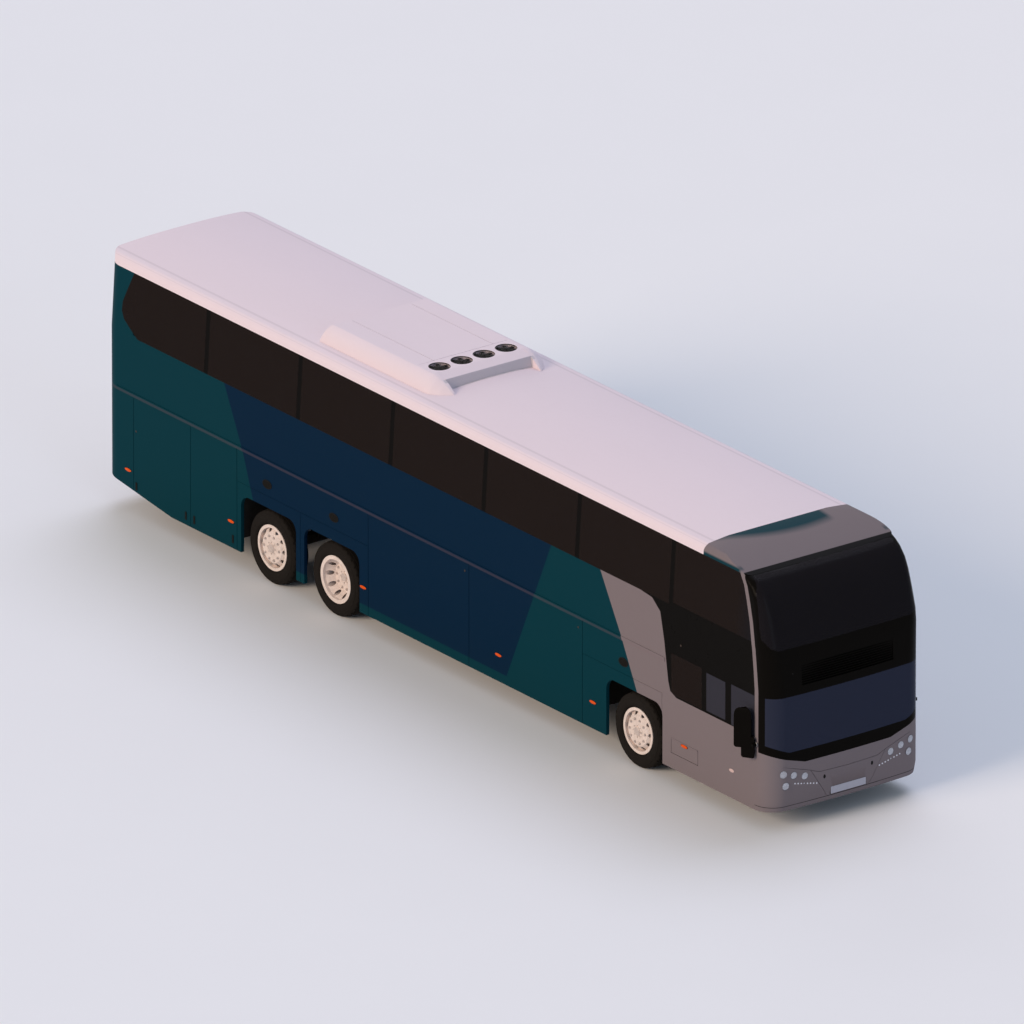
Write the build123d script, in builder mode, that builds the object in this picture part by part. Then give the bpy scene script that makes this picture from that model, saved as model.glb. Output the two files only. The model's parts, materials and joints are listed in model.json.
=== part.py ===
"""Three-axle, high-deck touring coach with a low driver's cab, right-hand drive.

Frame: +X forward, +Y to the left-hand side, +Z up; origin on the ground below the middle of
the body.  Millimetres.
"""
import os
from math import asin, cos, degrees, radians, sin, tan

from build123d import *

os.makedirs("parts", exist_ok=True)

# ---------------------------------------------------------------- driving dimensions
length = 14650
width = 2550
skirt_z = 270          # lower edge of the side skirts
roof_z = 3670          # crown of the roof
eave_z = 3465          # joint between side wall and roof
wall = 50              # side, roof, front and rear panels
glass_t = 8            # every bonded pane

front_overhang = 2949  # nose to front axle
wheelbase = 6620       # front axle to drive axle
tag_spacing = 1400     # drive axle to tag axle

sill_z = 2570          # lower edge of the passenger windows
lean_in = 56           # how far the side moves inwards from the sill to the eave
rail_z = 1780          # top of the waist rail
rail_h = 55
rail_out = 8           # how far the rail stands proud

front_corner_r = 290   # plan radius of the front corners up to the lower screen
brow_corner_r = 120    # and at the brow
rear_corner_r = 300
bow = 30               # how far the middle of the nose stands ahead of its corners
tuck = 40              # how far the bumper's lower edge is set back
tuck_z = 430
bend_z = 1950          # height where the nose starts to lean back
screen_r = 2720        # side-view radius of the upper screen's lower half
screen_tilt = 19.1
screen_flat = 255      # straight part of the upper screen
brow_r = 600
brow_tilt = 70
cap_r = 3160           # long radius of the cap behind the brow
cap_tilt = 88
tail_r = 150           # side-view radius at the roof's rear edge
eave_out = 12          # how far the eave moulding stands proud of the wall

seam = 8               # gap round doors and flaps

tyre_r = 515
tyre_w = 280
tyre_face_y = 1237     # outer face of the outer tyres
twin_pitch = 340
rim_r = 286            # seat of the tyre on the rim
flange_r = 318
drive_flange_r = 330
flange_in = 22         # flange's face behind the tyre's widest line
flange_t = 10

arch_half = 610
arch_z = 1095
arch_corner = 170
box_y = 470            # inner wall of the wheel boxes

deck_z = 1900          # top of the passenger floor
deck_t = 60
cab_z = 620            # top of the driver's floor
cab_t = 40
entry_z = 380          # platform inside the passenger door
front_deck_z = 2330    # top of the raised floor over the driver
bay_z = 470            # top of the luggage floor
sheet_t = 20           # underframe plates
box_z = 1140           # underside of the wheel boxes
keel_z = 600           # lower edge of the plates beside the wheels

# ---------------------------------------------------------------- places worked out from them
nose_x = length / 2
tail_x = -length / 2
half_w = width / 2
front_axle_x = nose_x - front_overhang
drive_axle_x = front_axle_x - wheelbase
tag_axle_x = drive_axle_x - tag_spacing
wheel_y = tyre_face_y - tyre_w / 2
inner_wheel_y = wheel_y - twin_pitch

RIGHT = -1
LEFT = 1


# ---------------------------------------------------------------- body outline
def nose_back(z):
    """Distance of the nose behind its foremost line at height z."""
    tilt = radians(screen_tilt)
    z1 = bend_z + screen_r * sin(tilt)
    x1 = screen_r * (1 - cos(tilt))
    z2 = z1 + screen_flat * cos(tilt)
    x2 = x1 + screen_flat * sin(tilt)
    z3 = z2 + brow_r * (sin(radians(brow_tilt)) - sin(tilt))
    if z <= tuck_z:
        return tuck * (tuck_z - z) / (tuck_z - skirt_z)
    if z <= bend_z:
        return 0
    if z <= z1:
        return screen_r * (1 - cos(asin((z - bend_z) / screen_r)))
    if z <= z2:
        return x1 + (z - z1) * tan(tilt)
    swing = asin(sin(tilt) + (min(z, z3) - z2) / brow_r)
    return x2 + brow_r * (cos(tilt) - cos(swing))


def brow_height(tilt_deg):
    """Height on the brow arc where the surface leans back by tilt_deg."""
    tilt = radians(screen_tilt)
    z2 = bend_z + screen_r * sin(tilt) + screen_flat * cos(tilt)
    return z2 + brow_r * (sin(radians(tilt_deg)) - sin(tilt))


def half_width(z):
    """Half the body's width at height z."""
    return half_w - max(0, z - sill_z) * lean_in / (eave_z - sill_z)


def share_up(z):
    """0 below the bend of the nose, 1 at the brow."""
    return min(1, max(0, (z - bend_z) / (brow_height(brow_tilt) - bend_z)))


screen_mid = bend_z + screen_r * sin(radians(screen_tilt / 2))
screen_top = bend_z + screen_r * sin(radians(screen_tilt))
sill_tilt = degrees(asin((sill_z - bend_z) / screen_r))

# columns: height, lean of the nose there in degrees
levels = [
    (skirt_z, 0),
    (tuck_z, 0),
    (bend_z, 0),
    (screen_mid, screen_tilt / 2),
    (sill_z, sill_tilt),
    (screen_top, screen_tilt),
    (brow_height(screen_tilt), screen_tilt),
    (brow_height(35), 35),
    (brow_height(50), 50),
    (brow_height(61), 61),
    (brow_height(brow_tilt), brow_tilt),
    (roof_z + 400, brow_tilt),
]


def body_form(inset):
    """The whole body as one closed solid, moved inwards by inset all round."""
    cap_x = nose_x - nose_back(brow_height(brow_tilt)) - inset * cos(radians(brow_tilt))
    cap_z = brow_height(brow_tilt) - inset * sin(radians(brow_tilt))
    slope = radians(90 - brow_tilt)
    with BuildPart() as form:
        for height, tilt in levels:
            z = height - inset * sin(radians(tilt))
            if height == skirt_z:
                z = height - inset
            front = nose_x - nose_back(height) - inset * cos(radians(tilt))
            side = half_width(z) - inset
            corner = front_corner_r + (brow_corner_r - front_corner_r) * share_up(height) - inset
            bulge = bow * (1 - 0.8 * share_up(height))
            rear = tail_x + inset
            back_r = rear_corner_r - inset
            turn = 1 - cos(radians(45))
            with BuildSketch(Plane.XY.offset(z)):
                with BuildLine():
                    for s in (1, -1):
                        start = (front - bulge, s * (side - corner))
                        end = (front - bulge - corner, s * side)
                        mid = (front - bulge - corner * turn, s * (side - corner * turn))
                        ThreePointArc(start, mid, end)
                        Line(end, (rear + back_r, s * side))
                        mid = (rear + back_r * turn, s * (side - back_r * turn))
                        ThreePointArc((rear + back_r, s * side), mid, (rear, s * (side - back_r)))
                    ThreePointArc((front - bulge, side - corner), (front, 0), (front - bulge, corner - side))
                    Line((rear, side - back_r), (rear, back_r - side))
                make_face()
        loft(ruled=True)
        # the roof's camber and the rounded eaves
        with BuildSketch(Plane.YZ.offset(tail_x - 500)):
            with BuildLine():
                edge = half_width(eave_z) + eave_out - inset
                wide = half_w + 200
                for s in (1, -1):
                    Line((s * wide, 0), (s * wide, eave_z - 100))
                    Line((s * wide, eave_z - 100), (s * edge, eave_z - 5))
                    ThreePointArc(
                        (s * edge, eave_z - 5),
                        (s * (edge - 30), eave_z + 85 - 0.6 * inset),
                        (s * (edge - 105), eave_z + 138 - inset),
                    )
                crown = (0, roof_z - inset)
                ThreePointArc((edge - 105, eave_z + 138 - inset), crown, (105 - edge, eave_z + 138 - inset))
                Line((wide, 0), (-wide, 0))
            make_face()
        extrude(amount=length + 1000, mode=Mode.INTERSECT)
        # side view of the cap and the rear edge of the roof
        with BuildSketch(Plane.XZ.offset(-width)):
            with BuildLine():
                reach = cap_x + 800
                Line((reach, 0), (reach, cap_z - 800 * tan(slope)))
                Line((reach, cap_z - 800 * tan(slope)), (cap_x, cap_z))
                sweep_arc = JernArc(
                    (cap_x, cap_z), (-cos(slope), sin(slope)), cap_r - inset, cap_tilt - brow_tilt
                )
                top = roof_z + 25 - inset
                last = sweep_arc @ 1
                run = (top - last.Y) / tan(radians(90 - cap_tilt))
                Line(last, (last.X - run, top))
                rear = tail_x + inset
                bend = tail_r - inset * 0.5
                Line((last.X - run, top), (rear + bend, top))
                JernArc((rear + bend, top), (-1, 0), bend, 90)
                Line((rear, top - bend), (rear - inset - 200, top - bend - 400))
                Line((rear - inset - 200, top - bend - 400), (rear - inset - 200, 0))
                Line((rear - inset - 200, 0), (reach, 0))
            make_face()
        extrude(amount=2 * width, mode=Mode.INTERSECT)
    return form.part



# ---------------------------------------------------------------- skins and cutters
outer = body_form(0)
inner = body_form(wall)
under_glass = body_form(glass_t)

with BuildPart() as shell:
    add(outer)
    add(inner, mode=Mode.SUBTRACT)

with BuildPart() as skin:
    add(outer)
    add(under_glass, mode=Mode.SUBTRACT)

cut_reach = 700        # depth of a cutter that goes through one side
cut_from = half_w + 200


def side_cut(points, side, corner=0):
    """Side-view outline pushed through one side of the body; points are (x, z)."""
    with BuildPart() as cut:
        start = cut_from - cut_reach if side == RIGHT else -cut_from
        with BuildSketch(Plane.XZ.offset(start)) as face:
            with BuildLine():
                Polyline(*points, close=True)
            make_face()
            if corner:
                fillet(face.vertices(), corner)
        extrude(amount=cut_reach)
    return cut.part


def across_cut(points):
    """Side-view outline pushed through the whole width; points are (x, z)."""
    with BuildPart() as cut:
        with BuildSketch(Plane.XZ.offset(-width)):
            with BuildLine():
                Polyline(*points, close=True)
            make_face()
        extrude(amount=2 * width)
    return cut.part


def end_cut(points, start, reach, corner=0):
    """Front-view outline pushed along X from start; points are (y, z)."""
    with BuildPart() as cut:
        with BuildSketch(Plane.YZ.offset(start)) as face:
            with BuildLine():
                Polyline(*points, close=True)
            make_face()
            if corner:
                fillet(face.vertices(), corner)
        extrude(amount=reach)
    return cut.part


def block(x0, x1, y0, y1, z0, z1):
    """A plain box between two corners."""
    with BuildPart() as solid:
        with BuildSketch(Plane.XY.offset(z0)):
            with Locations(((x0 + x1) / 2, (y0 + y1) / 2)):
                Rectangle(abs(x1 - x0), abs(y1 - y0))
        extrude(amount=z1 - z0)
    return solid.part


def rect(x0, x1, z0, z1):
    return [(x0, z0), (x1, z0), (x1, z1), (x0, z1)]


def grown(x0, x1, z0, z1, by):
    return x0 - by, x1 + by, z0 - by, z1 + by


def write(solid, name):
    solid.label = name
    export_step(solid, f"parts/{name}.step")


# ---------------------------------------------------------------- lines on the body
side_rear_x = tail_x + 310
skirt_rise_x = tail_x + 1525
skirt_rise = 203
door_top = rail_z - rail_h
hinge_r = 8
hinge_play = 0.3

# the slanted lower edge behind the last axle
wedge_top = skirt_z + skirt_rise * (skirt_rise_x - tail_x + 100) / (skirt_rise_x - tail_x)
skirt_wedge = across_cut(
    [(skirt_rise_x, 0), (skirt_rise_x, skirt_z), (tail_x - 100, wedge_top), (tail_x - 100, 0)]
)

# rear edge of the front mask; columns: distance behind the nose, height
mask_line = [(278, 1100), (278, 1950), (300, 2200), (338, 2530), (415, 2865), (500, 3130), (575, 3330)]
mask_line += [(690, 3495)]
strip_w = 73           # painted strip between mask and side glass
apron_x = nose_x - 420
cap_joint_x = nose_x - 1535


def strip_edge(z):
    """x of the rear edge of the painted strip at height z."""
    for (b0, z0), (b1, z1) in zip(mask_line, mask_line[1:]):
        if z0 <= z <= z1:
            return nose_x - strip_w - b0 - (b1 - b0) * (z - z0) / (z1 - z0)
    return nose_x - strip_w - mask_line[0][0]


mask_low = mask_line[0][1]
side_outline = [(side_rear_x, 100), (apron_x, 100), (apron_x, mask_low), (strip_edge(mask_low), mask_low)]
side_outline += [(strip_edge(z), z) for b, z in mask_line[1:-1]]
side_outline += [(strip_edge(eave_z), eave_z), (side_rear_x, eave_z)]

# black glass outline along the side; rear end given behind, front end ahead of these
band_rear = [(640, eave_z), (505, 3195), (415, 3000), (405, 2868), (460, 2765), (605, 2670), (775, sill_z)]
band_low = 1290
band_front = [(2830, sill_z), (2567, 2541), (2392, 2399), (2304, 2015), (2217, 1475), (2173, 1347)]
band_front += [(2041, band_low)]
band_outline = [(tail_x + b, z) for b, z in band_rear] + [(nose_x - b, z) for b, z in band_front]
band_outline += [(strip_edge(band_low), band_low)]
band_outline += [(strip_edge(z), z) for b, z in mask_line[1:-1]]
band_outline += [(strip_edge(eave_z), eave_z)]

# pillars between the passenger windows
pillar_w = 88
pillar_pitch = 2038
pillar_count = 6
pillar_x = [nose_x - 2165 - i * pillar_pitch for i in range(pillar_count)]
pane_edge = 30         # how far a pane laps over its opening
front_pane_low = 2610

# cab windows; columns: front edge behind the nose, rear edge behind the nose, low, high, sides
cab_panes = [
    (1494, 2151, 1310, 1890, (RIGHT,)),
    (985, 1393, 1325, 1857, (RIGHT,)),
    (357, 858, 1300, 1870, (RIGHT,)),
    (1830, 2151, 1310, 1870, (LEFT,)),
    (357, 600, 1310, 1870, (LEFT,)),
]

# panels that swing up; columns: name, side, rear x, front x, low, high
bay_rear_x = drive_axle_x + 802
bay_front_x = front_axle_x - 1130
bay_split_x = bay_rear_x + 2213
flap_rear_x = tail_x + 680
flap_front_x = tag_axle_x - 699
flap_split_x = flap_rear_x + 1270
hatch_rear_x = nose_x - 2151
hatch_front_x = hatch_rear_x + 576
flaps = [
    ("luggage_door_rear_right", RIGHT, bay_rear_x, bay_split_x, 100, door_top),
    ("luggage_door_front_right", RIGHT, bay_split_x, bay_front_x, 100, door_top),
    ("luggage_door_rear_left", LEFT, bay_rear_x, bay_split_x, 100, door_top),
    ("luggage_door_front_left", LEFT, bay_split_x, bay_front_x, 100, door_top),
    ("engine_flap_right", RIGHT, flap_rear_x, flap_split_x, 100, door_top),
    ("battery_flap_right", RIGHT, flap_split_x, flap_front_x, 100, door_top),
    ("engine_flap_left", LEFT, flap_rear_x, flap_front_x, 100, door_top),
    ("service_flap_right", RIGHT, hatch_rear_x, hatch_front_x, 488, 701),
]

hatch_joint_x = nose_x - 2355
rail_front_x = nose_x - 2290
seam_z = band_low - 30

door_rear_x = nose_x - 1725
door_front_x = nose_x - 725
door_low = 330
door_high = 1880
door_seam = 10

groove_w = 6
groove_d = 6


def hinge_z(top):
    """Height of a flap's hinge line below the edge of its opening."""
    return top - hinge_play - hinge_r


# ---------------------------------------------------------------- sides
def side_groove(side, x0, x1, z0, z1):
    """A panel joint cut into the outer face of one side."""
    y0 = side * (half_w - groove_d)
    return block(x0, x1, min(y0, side * (half_w + 50)), max(y0, side * (half_w + 50)), z0, z1)


side_names = {RIGHT: "right", LEFT: "left"}
for side in (RIGHT, LEFT):
    band = side_cut(band_outline, side)
    side_skin = side_cut(rect(side_rear_x, nose_x, skirt_z, eave_z), side) & skin.part
    # panes
    panes = []
    edges = [tail_x] + pillar_x[::-1] + [nose_x]
    for number, (rear, front) in enumerate(zip(edges, edges[1:])):
        low = sill_z if number < pillar_count else front_pane_low
        lap = pillar_w / 2
        panes.append((rear + lap, front - lap if number < pillar_count else front, low, eave_z + 50))
    for front, rear, low, high, sides in cab_panes:
        if side in sides:
            panes.append((nose_x - rear, nose_x - front, low, high))
    passenger_door = side_cut(
        rect(*grown(door_rear_x, door_front_x, door_low, door_high, door_seam)), side
    )

    with BuildPart() as glass:
        for x0, x1, z0, z1 in panes:
            add(side_cut(rect(x0, x1, z0, z1), side))
        add(band, mode=Mode.INTERSECT)
        add(side_skin, mode=Mode.INTERSECT)
    write(glass.part, f"side_glass_{side_names[side]}")

    with BuildPart() as mask:
        add(band)
        add(side_skin, mode=Mode.INTERSECT)
        for x0, x1, z0, z1 in panes:
            add(side_cut(rect(x0, x1, z0, z1), side), mode=Mode.SUBTRACT)
        if side == LEFT:
            add(passenger_door, mode=Mode.SUBTRACT)
    write(mask.part, f"side_mask_{side_names[side]}")

    with BuildPart() as side_wall:
        add(shell.part)
        add(side_cut(side_outline, side), mode=Mode.INTERSECT)
        add(side_cut(band_outline, side) & side_skin, mode=Mode.SUBTRACT)
        for x0, x1, z0, z1 in panes:
            rear = max(x0, tail_x + 640) + pane_edge
            front = min(x1, nose_x - strip_w - 660 if z1 > eave_z else x1) - pane_edge
            top = min(z1, eave_z) - pane_edge
            add(side_cut(rect(rear, front, z0 + pane_edge, top), side, 20), mode=Mode.SUBTRACT)
        for axle_x in (front_axle_x, drive_axle_x, tag_axle_x):
            arch = rect(axle_x - arch_half, axle_x + arch_half, -200, arch_z)
            add(side_cut(arch, side, arch_corner), mode=Mode.SUBTRACT)
        for name, flap_side, x0, x1, z0, z1 in flaps:
            if flap_side == side:
                hole = rect(x0 - seam / 2, x1 + seam / 2, z0 - seam / 2, z1)
                add(side_cut(hole, side), mode=Mode.SUBTRACT)
        if side == LEFT:
            add(passenger_door, mode=Mode.SUBTRACT)
        add(skirt_wedge, mode=Mode.SUBTRACT)
        for x0, x1 in ((flap_front_x, bay_rear_x), (bay_front_x, hatch_joint_x)):
            add(side_groove(side, x0, x1, seam_z, seam_z + groove_w), mode=Mode.SUBTRACT)
        for x in ((tag_axle_x + drive_axle_x) / 2, hatch_joint_x):
            add(side_groove(side, x, x + groove_w, 100, seam_z + groove_w), mode=Mode.SUBTRACT)
        rail_y = side * (half_w + rail_out / 2)
        y0, y1 = rail_y - rail_out / 2, rail_y + rail_out / 2
        add(block(side_rear_x, rail_front_x, y0, y1, door_top, rail_z))
    write(side_wall.part, f"side_wall_{side_names[side]}")

for name, side, x0, x1, z0, z1 in flaps:
    axis_z = hinge_z(z1)
    with BuildPart() as flap:
        add(shell.part)
        low = z0 + seam / 2
        add(side_cut(rect(x0 + seam / 2, x1 - seam / 2, low, axis_z - 2), side), mode=Mode.INTERSECT)
        add(skirt_wedge, mode=Mode.SUBTRACT)
        with BuildSketch(Plane.YZ.offset(x0 + seam / 2)):
            with Locations((side * half_w, axis_z)):
                Circle(hinge_r)
        extrude(amount=x1 - x0 - seam)
    write(flap.part, name)


# ---------------------------------------------------------------- front
# front-view outlines of one half; columns: y, z
mask_half = [(0, 915), (700, 915), (990, 1000), (half_w, mask_low), (half_w + 100, mask_low)]
mask_half += [(half_w + 100, 3495)]
upper_half = [(0, 2533), (1080, 2533), (1180, 2570), (1250, 2680), (1248, 2830), (1236, 3000), (1214, 3260)]
upper_half += [(1125, 3443)]
lower_half = [(0, 1095), (950, 1095), (1238, 1210), (1238, 1878)]
pane_ledge = 40
grille_half_y = 750
grille_z = (1990, 2285)
grille_bars = 9
grille_d = 14
joint_half = [(0, 712), (480, 722), (610, 775), (1065, 917), (1180, 952), (half_w + 100, 940)]
joint_foot = (338, 345)


def mirrored(half):
    """A closed front-view outline from its right-hand half."""
    return half + [(-y, z) for y, z in half[::-1] if y]


def shrink(half, ledge):
    """The same half outline, ledge mm smaller."""
    low = min(z for y, z in half)
    high = max(z for y, z in half)
    moved = [(max(0, y - ledge) if y else 0, z) for y, z in half]
    return [(y, min(max(z, low + ledge), high - ledge)) for y, z in moved]


def front_cut(half):
    return end_cut(mirrored(half), nose_x - 1500, 1700)


def front_face_x(y):
    """x of the nose below the bend at distance y from the middle."""
    corner_y = half_w - front_corner_r
    if abs(y) <= corner_y:
        return nose_x - bow * (y / corner_y) ** 2
    return nose_x - bow - front_corner_r + (front_corner_r**2 - (abs(y) - corner_y) ** 2) ** 0.5


mask_zone = [(nose_x - b, z) for b, z in mask_line] + [(nose_x + 200, mask_line[-1][1]), (nose_x + 200, 800)]
mask_zone += [(nose_x - mask_line[0][0], 800)]
windscreen_cut = [front_cut(upper_half), front_cut(lower_half)]

with BuildPart() as front_mask:
    add(shell.part)
    add(across_cut(mask_zone), mode=Mode.INTERSECT)
    add(front_cut(mask_half), mode=Mode.INTERSECT)
    for half in (upper_half, lower_half):
        add(front_cut(shrink(half, pane_ledge)), mode=Mode.SUBTRACT)
    for cut in windscreen_cut:
        add(cut & skin.part, mode=Mode.SUBTRACT)
    # the grille's slots between its bars
    pitch = (grille_z[1] - grille_z[0]) / grille_bars
    for i in range(grille_bars):
        z = grille_z[0] + i * pitch
        slot = block(nose_x - grille_d - bow, nose_x + 50, -grille_half_y, grille_half_y, z + 8, z + pitch)
        add(slot, mode=Mode.SUBTRACT)
write(front_mask.part, "front_mask")

rear_glass_half = [(0, 2600), (820, 2600), (880, 2660), (850, 3280), (790, 3330), (0, 3330)]
rear_glass_cut = end_cut(mirrored(rear_glass_half[:-1]), tail_x - 100, 400)

with BuildPart() as end_glass:
    for cut in windscreen_cut:
        add(cut)
    add(rear_glass_cut)
    add(skin.part, mode=Mode.INTERSECT)
write(end_glass.part, "end_glass")

cap_zone = [(cap_joint_x, eave_z), (cap_joint_x, roof_z + 100), (nose_x + 200, roof_z + 100)]
cap_zone += [(nose_x + 200, mask_line[-1][1])]
cap_zone += [(nose_x - b, z) for b, z in mask_line[::-1]]
cap_zone += [(strip_edge(mask_low), mask_low)] + [(strip_edge(z), z) for b, z in mask_line[1:-1]]
cap_zone += [(strip_edge(eave_z), eave_z)]
with BuildPart() as front_cap:
    add(shell.part)
    add(across_cut(cap_zone), mode=Mode.INTERSECT)
write(front_cap.part, "front_cap")

lamp_r = 48
lamp_t = 30
lamp_proud = 3
led_r = 12
# columns: y, z, radius
lamps = [(1043, 802, lamp_r), (879, 759, lamp_r), (705, 713, lamp_r), (1010, 635, lamp_r)]
led_ends = ((860, 640), (515, 568))
led_count = 8
for i in range(led_count):
    t = i / (led_count - 1)
    y = led_ends[0][0] + t * (led_ends[1][0] - led_ends[0][0])
    z = led_ends[0][1] + t * (led_ends[1][1] - led_ends[0][1])
    lamps.append((y, z, led_r))

with BuildPart() as headlamps:
    for y, z, r in lamps:
        start = front_face_x(y) - lamp_t
        with BuildSketch(Plane.YZ.offset(start)):
            with Locations((y, z), (-y, z)):
                Circle(r)
        extrude(amount=lamp_t + lamp_proud)
write(headlamps.part, "headlamps")

with BuildPart() as front_panel:
    add(shell.part)
    apron = [(apron_x, 100), (nose_x + 100, 100), (nose_x + 100, mask_low), (apron_x, mask_low)]
    add(across_cut(apron), mode=Mode.INTERSECT)
    add(across_cut(mask_zone) & front_cut(mask_half), mode=Mode.SUBTRACT)
    add(headlamps.part, mode=Mode.SUBTRACT)
    # joints round the lamp panels, the lower lip and the number plate
    groove_from = nose_x - bow - groove_d
    for s in (1, -1):
        outline = [(s * y, z) for y, z in joint_half]
        lower = [(s * y, z - groove_w) for y, z in joint_half[::-1]]
        add(end_cut(outline + lower, groove_from, 100), mode=Mode.SUBTRACT)
        foot = [(s * 610, 775), (s * (610 + groove_w), 775), (s * (joint_foot[0] + groove_w), joint_foot[1])]
        add(end_cut(foot + [(s * joint_foot[0], joint_foot[1])], groove_from, 100), mode=Mode.SUBTRACT)
    add(block(groove_from, nose_x + 10, -half_w, half_w, 335, 335 + groove_w), mode=Mode.SUBTRACT)
write(front_panel.part, "front_panel")

# ---------------------------------------------------------------- roof and rear
with BuildPart() as roof_shell:
    add(shell.part)
    add(across_cut(rect(tail_x - 100, cap_joint_x, eave_z, roof_z + 100)), mode=Mode.INTERSECT)
write(roof_shell.part, "roof_shell")

lid_half_y = 800
lid_z = (600, 1750)
tail_lamps_yz = ((930, 800), (930, 920), (930, 1040))
with BuildPart() as tail_lamps:
    for y, z in tail_lamps_yz:
        with BuildSketch(Plane.YZ.offset(tail_x)):
            with Locations((y, z), (-y, z)):
                Circle(lamp_r)
        extrude(amount=lamp_t)
write(tail_lamps.part, "tail_lamps")

with BuildPart() as rear_wall:
    add(shell.part)
    add(across_cut(rect(tail_x - 100, side_rear_x, 100, eave_z)), mode=Mode.INTERSECT)
    lid_hole = rect(-lid_half_y - seam, lid_half_y + seam, lid_z[0] - seam, lid_z[1])
    add(end_cut(lid_hole, tail_x - 100, 300), mode=Mode.SUBTRACT)
    add(end_cut(mirrored(shrink(rear_glass_half[:-1], pane_edge)), tail_x - 100, 400), mode=Mode.SUBTRACT)
    add(rear_glass_cut & skin.part, mode=Mode.SUBTRACT)
    add(tail_lamps.part, mode=Mode.SUBTRACT)
    add(skirt_wedge, mode=Mode.SUBTRACT)
write(rear_wall.part, "rear_wall")

lid_axis_z = hinge_z(lid_z[1])
with BuildPart() as engine_lid:
    with BuildSketch(Plane.YZ.offset(tail_x)):
        with Locations((0, (lid_z[0] + lid_axis_z - 2) / 2)):
            Rectangle(2 * lid_half_y, lid_axis_z - 2 - lid_z[0])
    extrude(amount=wall)
    with BuildSketch(Plane.XZ.offset(-lid_half_y)):
        with Locations((tail_x + hinge_r, lid_axis_z)):
            Circle(hinge_r)
    extrude(amount=2 * lid_half_y)
    # louvres
    for i in range(10):
        z = lid_z[0] + 150 + i * 90
        add(block(tail_x - 10, tail_x + 12, -600, 600, z, z + 30), mode=Mode.SUBTRACT)
write(engine_lid.part, "engine_lid")

# ---------------------------------------------------------------- floors and underframe
stair_y = (250, 1050)
stair_front_x = door_rear_x + 350
stair_steps = 6
stair_run = 260
deck_front_x = hatch_rear_x - 100
with BuildPart() as deck_floor:
    add(inner)
    deck_line = [
        (tail_x - 10, deck_z - deck_t),
        (deck_front_x, deck_z - deck_t),
        (deck_front_x, front_deck_z - cab_t),
        (nose_x, front_deck_z - cab_t),
        (nose_x, front_deck_z),
        (deck_front_x - cab_t, front_deck_z),
        (deck_front_x - cab_t, deck_z),
        (tail_x - 10, deck_z),
    ]
    add(across_cut(deck_line), mode=Mode.INTERSECT)
    well_rear_x = stair_front_x - stair_run * stair_steps
    stair_well = block(well_rear_x, nose_x, stair_y[0], half_w, deck_z - deck_t - 10, front_deck_z + 10)
    add(stair_well, mode=Mode.SUBTRACT)
write(deck_floor.part, "deck_floor")

with BuildPart() as cab_floor:
    add(block(deck_front_x, nose_x, -half_w, stair_y[0], cab_z - cab_t, cab_z))
    add(block(deck_front_x, nose_x, stair_y[0] - cab_t, half_w, entry_z - cab_t, entry_z))
    add(block(deck_front_x, nose_x, stair_y[0] - cab_t, stair_y[0], entry_z, cab_z))
    add(inner, mode=Mode.INTERSECT)
    rise = (deck_z - entry_z) / (stair_steps + 1)
    outline = [(stair_front_x, entry_z)]
    for i in range(stair_steps):
        x = stair_front_x - i * stair_run
        outline += [(x, entry_z + (i + 1) * rise), (x - stair_run, entry_z + (i + 1) * rise)]
    outline += [(outline[-1][0], box_z + sheet_t), (deck_front_x, box_z + sheet_t), (deck_front_x, entry_z)]
    with BuildSketch(Plane.XZ.offset(-stair_y[1])):
        with BuildLine():
            Polyline(*outline, close=True)
        make_face()
    extrude(amount=stair_y[1] - stair_y[0])
write(cab_floor.part, "cab_floor")

inner_y = half_w - wall
rear_box = (tag_axle_x - arch_half - 30, bay_rear_x - 60)
front_box = (bay_front_x + 60, deck_front_x)
with BuildPart() as underframe:
    for x0, x1 in (rear_box, front_box):
        add(block(x0, x1, -inner_y, inner_y, box_z, box_z + sheet_t))
        for s in (1, -1):
            y0, y1 = sorted((s * box_y, s * (box_y - sheet_t)))
            add(block(x0, x1, y0, y1, keel_z, box_z))
    for x0, low, high, y1 in (
        (rear_box[0] - sheet_t, bay_z - sheet_t, box_z + sheet_t, inner_y),
        (rear_box[1], bay_z - sheet_t, deck_z - deck_t, inner_y),
        (front_box[0] - sheet_t, bay_z - sheet_t, deck_z - deck_t, inner_y),
        (front_box[1] - sheet_t, cab_z - cab_t, box_z + sheet_t, inner_y),
    ):
        add(block(x0, x0 + sheet_t, -y1, y1, low, high))
    add(block(rear_box[1], front_box[0], -inner_y, inner_y, bay_z - sheet_t, bay_z))
    for s in (1, -1):
        add(block(tail_x + wall, rear_box[0], s * 400 - 30, s * 400 + 30, bay_z - sheet_t, bay_z + 40))
write(underframe.part, "underframe")

# ---------------------------------------------------------------- engine and axles
engine_x = (tail_x + 600, tail_x + 2300)
engine_half_y = 450
engine_h = 1050
write(block(*engine_x, -engine_half_y, engine_half_y, bay_z + 40, bay_z + 40 + engine_h), "engine_block")

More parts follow.
